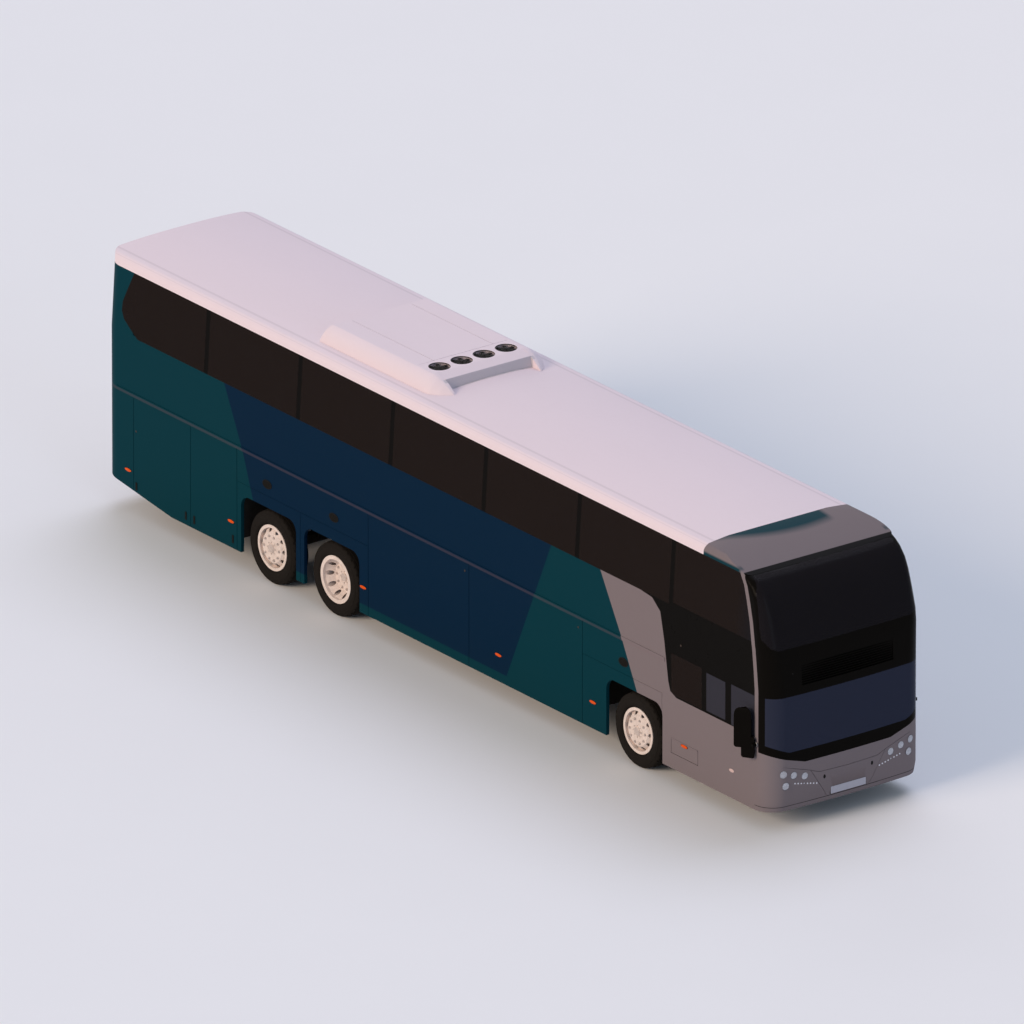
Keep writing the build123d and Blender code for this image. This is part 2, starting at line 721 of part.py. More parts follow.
kingpin_y = 860
beam_z = (360, 460)
eye_r = 45
eye_half = 80
pin_r = 20
spindle_r = 40
hub_play = 0.3
spindle_y = wheel_y + 40
with BuildPart() as front_axle:
    add(block(front_axle_x - 60, front_axle_x + 60, -700, 700, *beam_z))
    for s in (1, -1):
        eye_y = sorted((s * 690, s * kingpin_y))
        add(block(front_axle_x - 40, front_axle_x + 40, *eye_y, tyre_r - 70, tyre_r + 70))
        post_y = sorted((s * 640, s * 700))
        add(block(front_axle_x - 60, front_axle_x + 60, *post_y, beam_z[0], tyre_r + 70))
        with BuildSketch(Plane.XY.offset(tyre_r - eye_half)):
            with Locations((front_axle_x, s * kingpin_y)):
                Circle(eye_r)
        extrude(amount=2 * eye_half)
        seat_at = sorted((s * (box_y - sheet_t), s * (box_y + 40)))
        add(block(front_axle_x - 60, front_axle_x + 60, *seat_at, beam_z[1], keel_z))
    for s in (1, -1):
        with BuildSketch(Plane.XY.offset(0)):
            with Locations((front_axle_x, s * kingpin_y)):
                Circle(pin_r + hub_play)
        extrude(amount=2 * tyre_r, mode=Mode.SUBTRACT)
write(front_axle.part, "front_axle")

tube_r = 70
drive_spindle_r = 60
drive_spindle_y = wheel_y - 60
with BuildPart() as rear_axles:
    with BuildSketch(Plane.XZ.offset(-inner_wheel_y)):
        with Locations((drive_axle_x, tyre_r)):
            Circle(tube_r)
    extrude(amount=2 * inner_wheel_y)
    with BuildSketch(Plane.XZ.offset(-200)):
        with Locations((drive_axle_x, tyre_r)):
            Circle(210)
    extrude(amount=400)
    for x, end in ((drive_axle_x, drive_spindle_y), (tag_axle_x, spindle_y)):
        with BuildSketch(Plane.XZ.offset(-end)):
            with Locations((x, tyre_r)):
                Circle(drive_spindle_r)
        extrude(amount=2 * end)
    add(block(tag_axle_x - 60, tag_axle_x + 60, -900, 900, tyre_r - 60, tyre_r + 60))
    for x in (drive_axle_x, tag_axle_x):
        for s in (1, -1):
            add(block(x - 90, x + 90, *sorted((s * (box_y - sheet_t), s * (box_y + 40))), tyre_r, keel_z))
write(rear_axles.part, "rear_axles")

lug_t = 50
for side in (RIGHT, LEFT):
    with BuildPart() as knuckle:
        y0, y1 = sorted((side * (kingpin_y - eye_r), side * (kingpin_y + 95)))
        for low in (tyre_r - eye_half - hub_play - lug_t, tyre_r + eye_half + hub_play):
            add(block(front_axle_x - eye_r, front_axle_x + eye_r, y0, y1, low, low + lug_t))
        y0, y1 = sorted((side * (kingpin_y + eye_r + 10), side * (kingpin_y + 95)))
        reach = eye_half + hub_play + lug_t
        add(block(front_axle_x - eye_r, front_axle_x + eye_r, y0, y1, tyre_r - reach, tyre_r + reach))
        with BuildSketch(Plane.XY.offset(tyre_r - reach)):
            with Locations((front_axle_x, side * kingpin_y)):
                Circle(pin_r)
        extrude(amount=2 * reach)
        start = -(kingpin_y + 60) if side == LEFT else kingpin_y + 60
        with BuildSketch(Plane.XZ.offset(start)):
            with Locations((front_axle_x, tyre_r)):
                Circle(spindle_r)
        extrude(amount=-side * (spindle_y - kingpin_y - 60))
    write(knuckle.part, f"knuckle_{side_names[side]}")


# ---------------------------------------------------------------- wheels
tyre_sides = 36


def tyre_section(x, y, radius):
    """The outline of a tyre at y, with one flat side on the ground."""
    with BuildSketch(Plane.XZ.offset(-y)) as section:
        with Locations((x, tyre_r)):
            RegularPolygon(radius, tyre_sides, major_radius=False, rotation=180 / tyre_sides)
    return section.sketch


def tyre_ring(x, y, flange):
    """A tyre centred at y: beads against the flanges, bulged walls, sloped shoulders."""
    half = tyre_w / 2
    bead = half - flange_in - flange_t
    widest_r = (flange + tyre_r) / 2 - 15
    # columns: distance from the tyre's middle, radius
    shoulder = [(half - 62, tyre_r), (half - 18, tyre_r - 45), (half, widest_r)]
    profile = [(-out, radius) for out, radius in shoulder]
    profile += shoulder[::-1]
    with BuildPart() as ring:
        loft([tyre_section(x, y + out, radius) for out, radius in sorted(profile)], ruled=True)
        for s in (1, -1):
            wall_dish = [tyre_section(x, y + s * half, widest_r), tyre_section(x, y + s * bead, flange)]
            loft(wall_dish, ruled=True, mode=Mode.SUBTRACT)
        extrude(tyre_section(x, y - half, rim_r), amount=-tyre_w, mode=Mode.SUBTRACT)
    return ring.part


hole_count = 10
hand_hole_r = 32
hand_circle_r = 246
barrel_t = 9
disc_t = 14
disc_r = 205
hub_r = 100
hub_cap_r = 62
hub_step = 14
hub_len = 130


def turned(points, x):
    """A solid of revolution about the axle at x; points are (distance from the axle, y)."""
    with BuildPart() as solid:
        with BuildSketch(Plane.XY.offset(tyre_r)):
            with BuildLine():
                Polyline(*[(x + r, y) for r, y in points], close=True)
            make_face()
        revolve(axis=Axis((x, 0, tyre_r), (0, 1, 0)))
    return solid.part


def barrel(x, y, flange):
    """The rim's barrel with a flange at each side, centred at y."""
    edge = tyre_w / 2 - flange_in
    seat = edge - flange_t
    bore = rim_r - barrel_t
    outline = [(bore, y + edge), (flange, y + edge), (flange, y + seat), (rim_r, y + seat)]
    outline += [(rim_r, y - seat), (flange, y - seat), (flange, y - edge), (bore, y - edge)]
    return turned(outline, x)


def rim_body(x, s, flange, dish, cone, nose, bore, end, twin):
    """Rim, disc and hub.  The disc's face lies dish behind the flange; its cone runs on by cone."""
    disc = wheel_y + tyre_w / 2 - flange_in - dish
    root = disc + cone
    cap = disc + nose
    foot = rim_r - barrel_t / 2
    with BuildPart() as rim:
        add(barrel(x, s * wheel_y, flange))
        if twin:
            add(barrel(x, s * inner_wheel_y, flange))
            spacer = [(rim_r - barrel_t, wheel_y), (rim_r - 1, wheel_y), (rim_r - 1, inner_wheel_y)]
            spacer += [(rim_r - barrel_t, inner_wheel_y)]
            add(turned([(r, s * y) for r, y in spacer], x))
        plate = [(hub_r - 10, disc), (disc_r, disc), (foot, root), (foot, root - disc_t)]
        plate += [(disc_r - 5, disc - disc_t), (hub_r - 10, disc - disc_t)]
        add(turned([(r, s * y) for r, y in plate], x))
        low = min(disc, root) - 2 * disc_t
        with BuildSketch(Plane.XZ.offset(-s * low)):
            with Locations((x, tyre_r)):
                with PolarLocations(hand_circle_r, hole_count):
                    Circle(hand_hole_r)
        extrude(amount=-s * (max(disc, root) + disc_t - low), mode=Mode.SUBTRACT)
        hub = [(0, cap), (hub_cap_r, cap), (hub_cap_r, cap - hub_step), (hub_r, cap - hub_step)]
        hub += [(hub_r, end - hub_len), (bore + hub_play, end - hub_len)]
        hub += [(bore + hub_play, end + hub_play), (0, end + hub_play)]
        add(turned([(r, s * y) for r, y in hub], x))
    return rim.part


# columns: name, axle x, flange radius, dish, cone, hub nose, bore, spindle's end, twin
wheels = [
    ("front", front_axle_x, flange_r, -6, -70, 18, spindle_r, spindle_y, False),
    ("drive", drive_axle_x, drive_flange_r, 155, 120, 22, drive_spindle_r, drive_spindle_y, True),
    ("tag", tag_axle_x, flange_r, -6, -70, 18, drive_spindle_r, spindle_y, False),
]
for name, x, flange, dish, cone, nose, bore, end, twin in wheels:
    for side in (RIGHT, LEFT):
        rim = rim_body(x, side, flange, dish, cone, nose, bore, end, twin)
        write(rim, f"{name}_rim_{side_names[side]}")
        with BuildPart() as tyre:
            add(tyre_ring(x, side * wheel_y, flange))
            if twin:
                add(tyre_ring(x, side * inner_wheel_y, flange))
        write(tyre.part, f"{name}_tyre_{side_names[side]}")

# ---------------------------------------------------------------- passenger door
arm_post_x = door_rear_x + 100
arm_y = half_w - wall - 75
arm_len = 600
post_r = 25
arm_z = (750, 1550)
arm_t = 30
arm_w = 50
bracket_t = 12
door_pin_r = 8
leaf_pin_x = arm_post_x + arm_len
with BuildPart() as door_leaf:
    add(shell.part)
    opening = rect(door_rear_x, door_front_x, door_low, door_high)
    add(side_cut(opening, LEFT), mode=Mode.INTERSECT)
    door_pane = rect(door_rear_x + 70, door_front_x - 70, 780, door_high - 50)
    add(side_cut(door_pane, LEFT, 60) & skin.part, mode=Mode.SUBTRACT)
    small = rect(door_rear_x + 95, door_front_x - 95, 805, door_high - 75)
    add(side_cut(small, LEFT, 40), mode=Mode.SUBTRACT)
    # hinge brackets bridge the pane
    add(block(leaf_pin_x - 30, leaf_pin_x + 30, half_w - wall, half_w - wall + 30, 700, door_high))
    for z in arm_z:
        for low in (z - arm_t / 2 - hub_play - bracket_t, z + arm_t / 2 + hub_play):
            add(block(leaf_pin_x - 25, leaf_pin_x + 25, arm_y - 25, half_w - wall, low, low + bracket_t))
        with BuildSketch(Plane.XY.offset(z - arm_t / 2 - hub_play - bracket_t)):
            with Locations((leaf_pin_x, arm_y)):
                Circle(door_pin_r)
        extrude(amount=arm_t + 2 * hub_play + 2 * bracket_t)
write(door_leaf.part, "door_leaf")

with BuildPart() as door_glass:
    add(side_cut(door_pane, LEFT, 60))
    add(skin.part, mode=Mode.INTERSECT)
write(door_glass.part, "door_glass")

with BuildPart() as door_arm:
    with BuildSketch(Plane.XY.offset(entry_z + hub_play)):
        with Locations((arm_post_x, arm_y)):
            Circle(post_r)
    extrude(amount=arm_z[1] + 150 - entry_z)
    for z in arm_z:
        with BuildSketch(Plane.XY.offset(z - arm_t / 2)):
            with Locations((arm_post_x + arm_len / 2, arm_y)):
                SlotCenterToCenter(arm_len, arm_w)
            with Locations((leaf_pin_x, arm_y)):
                Circle(door_pin_r + hub_play, mode=Mode.SUBTRACT)
        extrude(amount=arm_t)
write(door_arm.part, "door_arm")

# ---------------------------------------------------------------- roof unit
unit_rear_x = nose_x - 10270
unit_face_x = nose_x - 7785    # steep front of the middle part
unit_half_y = 960
unit_top = 3835
unit_foot = roof_z - 100
crest_y = 765          # where the rounded flanks reach the top
pod_inner_y = 700
unit_rear_slope = 60
top_joint_w = 6
top_joint_d = 4
fan_r = 140
fan_well_r = 148
fan_well_d = 60
fan_x = nose_x - 8165
fan_pitch = 366
fan_y = [(i - 1.5) * fan_pitch for i in range(4)]
pod_start_x = unit_face_x - 200
# noses of the side pods
# columns: x ahead of their start, outer foot, crest's outer edge, depth below the top
pod_nose = [
    (-40, unit_half_y, crest_y, 0),
    (0, unit_half_y, crest_y, 0),
    (110, 950, 762, 30),
    (230, 900, 750, 85),
    (330, 840, 735, 150),
    (410, 770, 720, 225),
]


def pod_section(x, s, foot_y, crest, drop):
    """Section of one pod: upright inner wall, flat crest, rounded flank."""
    top = unit_top - drop
    with BuildSketch(Plane.YZ.offset(x)) as section:
        with BuildLine():
            Line((s * pod_inner_y, unit_foot - drop), (s * pod_inner_y, top))
            Line((s * pod_inner_y, top), (s * crest, top))
            ThreePointArc(
                (s * crest, top),
                (s * (crest + 0.7 * (foot_y - crest)), top - 0.35 * (top - unit_foot + drop)),
                (s * foot_y, unit_foot - drop),
            )
            Line((s * foot_y, unit_foot - drop), (s * pod_inner_y, unit_foot - drop))
        make_face()
    return section.sketch


with BuildPart() as flanks:
    for s in (1, -1):
        extrude(pod_section(unit_rear_x, s, unit_half_y, crest_y, 0), amount=pod_start_x - unit_rear_x)
    add(block(unit_rear_x, unit_face_x, -pod_inner_y - 1, pod_inner_y + 1, unit_foot, unit_top))

with BuildPart() as roof_unit:
    side_line = [
        (unit_rear_x, unit_foot),
        (unit_rear_x + unit_rear_slope, unit_top),
        (unit_face_x - 210, unit_top),
        (unit_face_x - 40, unit_top - 45),
        (unit_face_x, unit_foot),
    ]
    add(across_cut(side_line))
    add(flanks.part, mode=Mode.INTERSECT)
    for s in (1, -1):
        loft([pod_section(pod_start_x + row[0], s, *row[1:]) for row in pod_nose], ruled=True)
    add(outer, mode=Mode.SUBTRACT)
    for y in fan_y:
        with BuildSketch(Plane.XY.offset(unit_top - fan_well_d)):
            with Locations((fan_x, y)):
                Circle(fan_well_r)
                Circle(20, mode=Mode.SUBTRACT)
        extrude(amount=200, mode=Mode.SUBTRACT)
    with BuildSketch(Plane.XY.offset(unit_top - 40)):
        with Locations(*[(fan_x, y) for y in fan_y]):
            Circle(60)
    extrude(amount=200, mode=Mode.SUBTRACT)
    # joints between the unit's covers
    joint_x = fan_x - fan_well_r - 60
    joint_z = (unit_top - top_joint_d, unit_top + 10)
    cross = (joint_x - top_joint_w, joint_x, -crest_y + 40, crest_y - 40)
    add(block(*cross, *joint_z), mode=Mode.SUBTRACT)
    for y in (-490, 490):
        lengthways = (unit_rear_x + unit_rear_slope + 40, joint_x - 1, y, y + top_joint_w)
        add(block(*lengthways, *joint_z), mode=Mode.SUBTRACT)
write(roof_unit.part, "roof_unit")

for number, y in enumerate(fan_y, 1):
    with BuildPart() as fan:
        with BuildSketch(Plane.XY.offset(unit_top - 40 + hub_play)):
            with Locations((fan_x, y)):
                Circle(38)
                with PolarLocations(85, 7):
                    Rectangle(110, 42)
        extrude(amount=16)
    write(fan.part, f"roof_fan_{number}")

# ---------------------------------------------------------------- mirrors
# plan of a head, from the nose and the middle: outer rear corner, front corner, inner corner
head_plan = [(nose_x - 549, 1503), (nose_x - 327, 1338), (nose_x - 470, 1303)]
small_plan = [(nose_x - 476, 1442), (nose_x - 288, 1312), (nose_x - 400, 1286)]
head_corner = 10
# columns: height, scale of the plan
head_levels = [(1150, 0.84), (1168, 0.97), (1185, 1), (1600, 1), (1650, 0.93), (1682, 0.8), (1700, 0.6)]
small_levels = [(1012, 0.8), (1028, 0.95), (1045, 1), (1275, 1), (1297, 0.93), (1308, 0.8)]
mirror_arm = (nose_x - 330, nose_x - 290, 1185, 1225)


def mirror_head(plan, s, sections):
    """A mirror housing with a wedge-shaped plan and rounded ends."""
    mid_x = sum(x for x, y in plan) / len(plan)
    mid_y = sum(y for x, y in plan) / len(plan)
    with BuildPart() as head:
        for z, scale in sections:
            with BuildSketch(Plane.XY.offset(z)) as face:
                with BuildLine():
                    Polyline(
                        *[(mid_x + scale * (x - mid_x), s * (mid_y + scale * (y - mid_y))) for x, y in plan],
                        close=True,
                    )
                make_face()
                fillet(face.vertices(), head_corner * scale)
        loft(ruled=True)
    return head.part


with BuildPart() as mirrors:
    for s in (1, -1):
        add(mirror_head(head_plan, s, head_levels))
        add(mirror_head(small_plan, s, small_levels))
        x0, x1, z0, z1 = mirror_arm
        add(block(x0, x1, *sorted((s * (half_w - 20), s * 1350)), z0, z1))
    add(outer, mode=Mode.SUBTRACT)
write(mirrors.part, "mirrors")

# ---------------------------------------------------------------- inside
seat_pitch = 780
seat_rows = 15
seat_first_x = nose_x - 2700
seat_y = 720
seat_half = 460
with BuildPart() as passenger_seats:
    for row in range(seat_rows):
        x = seat_first_x - row * seat_pitch
        for s in (1, -1):
            if s == 1 and x + 100 > well_rear_x - 100:
                continue
            with BuildSketch(Plane.XZ.offset(-s * seat_y - seat_half)):
                with BuildLine():
                    Polyline(
                        (x, deck_z),
                        (x, deck_z + 300),
                        (x + 180, deck_z + 320),
                        (x + 180, deck_z + 440),
                        (x - 220, deck_z + 420),
                        (x - 360, deck_z + 1100),
                        (x - 450, deck_z + 1090),
                        (x - 320, deck_z + 300),
                        (x - 200, deck_z + 300),
                        (x - 200, deck_z),
                        close=True,
                    )
                make_face()
            extrude(amount=2 * seat_half)
write(passenger_seats.part, "passenger_seats")

driver_x = nose_x - 1500
driver_y = -620
with BuildPart() as driver_seat:
    with BuildSketch(Plane.XZ.offset(-driver_y - 250)):
        with BuildLine():
            Polyline(
                (driver_x - 20, cab_z),
                (driver_x - 20, cab_z + 320),
                (driver_x + 200, cab_z + 340),
                (driver_x + 200, cab_z + 450),
                (driver_x - 240, cab_z + 430),
                (driver_x - 370, cab_z + 1150),
                (driver_x - 460, cab_z + 1140),
                (driver_x - 340, cab_z + 320),
                (driver_x - 300, cab_z + 320),
                (driver_x - 300, cab_z),
                close=True,
            )
        make_face()
    extrude(amount=500)
write(driver_seat.part, "driver_seat")

wheel_tilt = 35
column_len = 640
hub_at = (nose_x - 900, driver_y, 1290)
column_r = 28
rim_wheel_r = 225
with BuildPart() as dashboard:
    dash = [
        (nose_x - 560, cab_z),
        (nose_x - 560, 1000),
        (nose_x - 620, 1130),
        (nose_x - 180, 1160),
        (nose_x - 100, 1000),
        (nose_x - 100, cab_z),
    ]
    with BuildSketch(Plane.XZ.offset(0)):
        with BuildLine():
            Polyline(*dash, close=True)
        make_face()
    extrude(amount=half_w)
    tilt = radians(wheel_tilt)
    column = Plane(origin=hub_at, z_dir=(-sin(tilt), 0, cos(tilt))).offset(-20 - column_len)
    with BuildSketch(column):
        Circle(column_r)
    extrude(amount=column_len)
    add(inner, mode=Mode.INTERSECT)
write(dashboard.part, "dashboard")

with BuildPart() as steering_wheel:
    face = Plane(origin=hub_at, x_dir=(cos(tilt), 0, sin(tilt)), z_dir=(-sin(tilt), 0, cos(tilt)))
    with BuildSketch(Plane(origin=hub_at, x_dir=face.x_dir, z_dir=face.x_dir.cross(face.z_dir))):
        with Locations((rim_wheel_r, 0)):
            Circle(15)
    revolve(axis=Axis(hub_at, face.z_dir))
    with BuildSketch(face.offset(-12)):
        Circle(45)
        for angle in (0, 120, 240):
            with Locations(Rotation(0, 0, angle)):
                with Locations((rim_wheel_r / 2, 0)):
                    Rectangle(rim_wheel_r, 34)
    extrude(amount=20)
    with BuildSketch(face.offset(-20 + hub_play)):
        Circle(column_r)
    extrude(amount=20)
write(steering_wheel.part, "steering_wheel")
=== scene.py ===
import json
import math

import bmesh
import bpy
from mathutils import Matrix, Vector
from mathutils.bvhtree import BVHTree

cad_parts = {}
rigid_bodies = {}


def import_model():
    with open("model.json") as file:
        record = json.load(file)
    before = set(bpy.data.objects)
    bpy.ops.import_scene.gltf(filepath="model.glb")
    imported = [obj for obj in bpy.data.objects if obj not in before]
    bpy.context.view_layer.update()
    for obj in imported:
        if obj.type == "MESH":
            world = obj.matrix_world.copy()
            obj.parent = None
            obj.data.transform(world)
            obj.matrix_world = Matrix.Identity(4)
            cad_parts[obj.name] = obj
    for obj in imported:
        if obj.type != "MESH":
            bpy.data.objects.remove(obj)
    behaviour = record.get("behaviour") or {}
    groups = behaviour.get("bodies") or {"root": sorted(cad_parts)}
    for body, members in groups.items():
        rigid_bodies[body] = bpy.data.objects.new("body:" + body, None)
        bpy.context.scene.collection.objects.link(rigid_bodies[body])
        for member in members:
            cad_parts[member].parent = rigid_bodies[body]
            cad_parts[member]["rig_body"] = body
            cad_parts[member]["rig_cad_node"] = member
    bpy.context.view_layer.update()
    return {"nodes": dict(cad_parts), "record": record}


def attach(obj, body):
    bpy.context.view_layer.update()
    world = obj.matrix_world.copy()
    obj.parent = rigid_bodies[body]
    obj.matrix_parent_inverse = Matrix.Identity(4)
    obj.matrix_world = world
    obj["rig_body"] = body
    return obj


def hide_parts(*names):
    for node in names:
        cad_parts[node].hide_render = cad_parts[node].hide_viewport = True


print("coach: loading the frame")
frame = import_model()
nodes = frame["nodes"]
bodyOf = {n: body for body, members in frame["record"]["behaviour"]["bodies"].items() for n in members}
slotOf = {s["node"]: s["material_slot"] for s in frame["record"]["subparts"]}
sideNames = {-1: "right", 1: "left"}


# selection and editing, as by hand
def deselectAll():
    bpy.ops.object.select_all(action="DESELECT")


def useOnly(piece):
    deselectAll()
    piece.select_set(True)
    bpy.context.view_layer.objects.active = piece


def startEdit(piece, mode="FACE"):
    useOnly(piece)
    bpy.ops.object.mode_set(mode="EDIT")
    bpy.ops.mesh.select_mode(type=mode)


def endEdit():
    bpy.ops.object.mode_set(mode="OBJECT")


def pickFaces(piece, test):
    mesh = bmesh.from_edit_mesh(piece.data)
    for face in mesh.faces:
        face.select = bool(test(face))
    mesh.select_flush_mode()
    bmesh.update_edit_mesh(piece.data)


def applyPlace(piece):
    useOnly(piece)
    bpy.ops.object.transform_apply(location=True, rotation=True, scale=True)


def faceOut(piece):
    startEdit(piece)
    bpy.ops.mesh.select_all(action="SELECT")
    bpy.ops.mesh.remove_doubles(threshold=0.0003)
    bpy.ops.mesh.normals_make_consistent(inside=False)
    endEdit()


def smooth(piece, angle=35):
    useOnly(piece)
    bpy.ops.object.shade_smooth_by_angle(angle=math.radians(angle))


def modify(piece, kind, **settings):
    useOnly(piece)
    bpy.ops.object.modifier_add(type=kind)
    modifier = piece.modifiers[-1]
    for name, value in settings.items():
        setattr(modifier, name, value)
    bpy.ops.object.modifier_apply(modifier=modifier.name)


def copyOf(piece, name, move=(0, 0, 0), mirrorY=False):
    copy = piece.copy()
    copy.data = piece.data.copy()
    copy.name = name
    bpy.context.scene.collection.objects.link(copy)
    copy.location = Vector(move)
    if mirrorY:
        copy.scale = (1, -1, 1)
    applyPlace(copy)
    if mirrorY:
        startEdit(copy)
        bpy.ops.mesh.select_all(action="SELECT")
        bpy.ops.mesh.normals_make_consistent(inside=False)
        endEdit()
    return copy


def joined(pieces, name):
    deselectAll()
    for piece in pieces:
        piece.select_set(True)
    bpy.context.view_layer.objects.active = pieces[0]
    if len(pieces) > 1:
        bpy.ops.object.join()
    pieces[0].name = name
    return pieces[0]


def dress(piece, paint, body, replaced=()):
    piece.data.materials.clear()
    piece.data.materials.append(paint)
    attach(piece, body)
    if replaced:
        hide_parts(*replaced)
    return piece


# turns a solid of revolution by hand: one circle, extruded and scaled ring by ring
def turned(name, rings, centre=(0, 0, 0), turn=(0, 0, 0), segments=48, angle=35):
    tiny = 0.0001
    rings = [(max(radius, tiny), height) for radius, height in rings]
    deselectAll()
    bpy.ops.mesh.primitive_circle_add(vertices=segments, radius=rings[0][0], location=(0, 0, rings[0][1]))
    piece = bpy.context.object
    piece.name = name
    bpy.ops.object.mode_set(mode="EDIT")
    bpy.ops.mesh.select_all(action="SELECT")
    for (radius, height), (nextRadius, nextHeight) in zip(rings, rings[1:]):
        bpy.ops.mesh.extrude_edges_move(TRANSFORM_OT_translate={"value": (0, 0, nextHeight - height)})
        grow = nextRadius / radius
        bpy.ops.transform.resize(value=(grow, grow, 1), center_override=(0, 0, nextHeight))
    endEdit()
    piece.rotation_euler = turn
    applyPlace(piece)
    piece.location = centre
    applyPlace(piece)
    faceOut(piece)
    smooth(piece, angle)
    return piece


def block(name, low, high, round_=0.004, steps=2):
    low, high = Vector(low), Vector(high)
    deselectAll()
    bpy.ops.mesh.primitive_cube_add(size=1, location=(low + high) / 2)
    piece = bpy.context.object
    piece.name = name
    piece.scale = high - low
    applyPlace(piece)
    startEdit(piece, "EDGE")
    bpy.ops.mesh.select_all(action="SELECT")
    bpy.ops.mesh.bevel(offset=round_, segments=steps, affect="EDGES")
    endEdit()
    smooth(piece, 40)
    return piece


# shader maths: a wire is one socket, and sums on it become Math nodes
class Wire:
    def __init__(self, paint, socket):
        self.paint = paint
        self.socket = socket

    def maths(self, operation, *values, clamp=False):
        settings = {"operation": operation, "use_clamp": clamp}
        return self.paint.node("ShaderNodeMath", settings, dict(enumerate(values)))

    def __add__(self, other):
        return self.maths("ADD", self, other)

    __radd__ = __add__

    def __sub__(self, other):
        return self.maths("SUBTRACT", self, other)

    def __rsub__(self, other):
        return self.maths("SUBTRACT", other, self)

    def __mul__(self, other):
        return self.maths("MULTIPLY", self, other)

    __rmul__ = __mul__

    def __truediv__(self, other):
        return self.maths("DIVIDE", self, other)

    def __abs__(self):
        return self.maths("ABSOLUTE", self)

    def least(self, other):
        return self.maths("MINIMUM", self, other)

    def most(self, other):
        return self.maths("MAXIMUM", self, other)

    # 0 below the edge and 1 above it, over width
    def above(self, edge, width=0.003):
        return self.maths("ADD", (self - edge) / width, 0.5, clamp=True)


def tone(red, green, blue):
    def linear(value):
        value /= 255
        return value / 12.92 if value <= 0.04045 else ((value + 0.055) / 1.055) ** 2.4
    return (linear(red), linear(green), linear(blue), 1)


class Paint:
    def __init__(self, name, **constants):
        self.material = bpy.data.materials.new(name)
        self.material.use_nodes = True
        self.tree = self.material.node_tree
        self.surface = self.tree.nodes["Principled BSDF"]
        for socket, value in constants.items():
            self.surface.inputs[socket.replace("_", " ")].default_value = value

    def node(self, kind, settings=None, inputs=None, output=0):
        made = self.tree.nodes.new(kind)
        for name, value in (settings or {}).items():
            if name == "stops":
                for stop, (place, colour) in zip(made.color_ramp.elements, value):
                    stop.position, stop.color = place, colour
            else:
                setattr(made, name, value)
        for key, value in (inputs or {}).items():
            if isinstance(value, Wire):
                self.tree.links.new(value.socket, made.inputs[key])
            else:
                made.inputs[key].default_value = value
        return Wire(self, made.outputs[output])

    def feed(self, **values):
        for socket, value in values.items():
            self.tree.links.new(value.socket, self.surface.inputs[socket.replace("_", " ")])

    def place(self):
        return self.node("ShaderNodeTexCoord", output=3)

    def xyz(self):
        place = self.place()
        return [self.node("ShaderNodeSeparateXYZ", {}, {0: place}, axis) for axis in range(3)]

    def noise(self, scale, detail=4, rough=0.5, stretch=(1, 1, 1), output=0):
        place = self.node("ShaderNodeMapping", {}, {"Vector": self.place(), "Scale": stretch})
        inputs = {"Vector": place, "Scale": scale, "Detail": detail, "Roughness": rough}
        return self.node("ShaderNodeTexNoise", {}, inputs, output)

    def mix(self, amount, first, second):
        return self.node("ShaderNodeMix", {"data_type": "RGBA"}, {0: amount, 6: first, 7: second}, 2)

    def bump(self, height, strength, distance=0.001):
        inputs = {"Height": height, "Strength": strength, "Distance": distance}
        self.feed(Normal=self.node("ShaderNodeBump", {}, inputs))


print("coach: materials")
livery = {
    "teal": tone(5, 51, 61),
    "navy": tone(5, 32, 55),
    "grey": tone(119, 109, 112),
    "dust": tone(84, 80, 76),
    # x on the waist line, its height, slopes above and below
    "tealToNavy": (-4.22, 1.74, 0.4875, 0.3636),
    "navyToTeal": (1.603, 0.419, 0.4487),
    "tealToGrey": (4.079, 1.793, 0.509, 0.573),
    "navyFoot": 0.40, "strip": (1.722, 1.762), "sideFrom": 1.2,
    "lipJoint": 0.338, "noseFrom": 6.98,
}


def bodyPaint(name):
    paint = Paint(name, Specular_IOR_Level=0.02)
    x, y, z = paint.xyz()
    startX, startZ, upper, lower = livery["tealToNavy"]
    rise = z - startZ
    navyStart = (startX - rise * upper).least(startX - rise * lower)
    endX, endZ, slope = livery["navyToTeal"]
    navyEnd = endX + (z - endZ) * slope
    greyX, greyZ, upper, lower = livery["tealToGrey"]
    rise = z - greyZ
    greyStart = (greyX - rise * upper).least(greyX - rise * lower)
    navy = x.above(navyStart) * (1 - x.above(navyEnd)) * z.above(livery["navyFoot"])
    colour = paint.mix(navy, livery["teal"], livery["navy"])
    colour = paint.mix(x.above(greyStart), colour, livery["grey"])
    patchy = paint.noise(1.3, 5, 0.6, (1, 1, 2))
    colour = paint.mix((patchy - 0.5).above(0, 0.5) * 0.02, colour, tone(20, 48, 62))
    low = (1 - z.above(0.5, 0.7)) * paint.noise(9, 6, 0.7)
    colour = paint.mix(low * 0.03, colour, livery["dust"])
    stripLow, stripHigh = livery["strip"]
    strip = z.above(stripLow, 0.004) * (1 - z.above(stripHigh, 0.002))
    strip = strip * abs(y).above(livery["sideFrom"], 0.01)
    colour = paint.mix(strip * 0.16, colour, tone(118, 98, 104))
    # painted shade: the joint groove above the bumper lip on the nose is painted near black
    lipGrooveShade = (1 - abs(z - livery["lipJoint"]).above(0.0045, 0.002)) * x.above(livery["noseFrom"], 0.05)
    colour = paint.mix(lipGrooveShade * 0.9, colour, tone(20, 18, 20))
    paint.feed(Base_Color=colour, Roughness=0.42 + low * 0.25 + patchy * 0.1)
    paint.bump(paint.noise(260, 2), 0.03, 0.0006)
    return paint.material


# the grey cap has a soft teal bloom along its rear edge and a teal line above the side windows
bloom = {
    "from": 5.79, "reach": 0.31, "widestY": 0.2, "taper": 0.23, "soft": 0.17, "ends": (-1.16, 0.68),
    "lineTop": 3.512, "lineFront": 6.58, "lineFrom": 1.16,
}


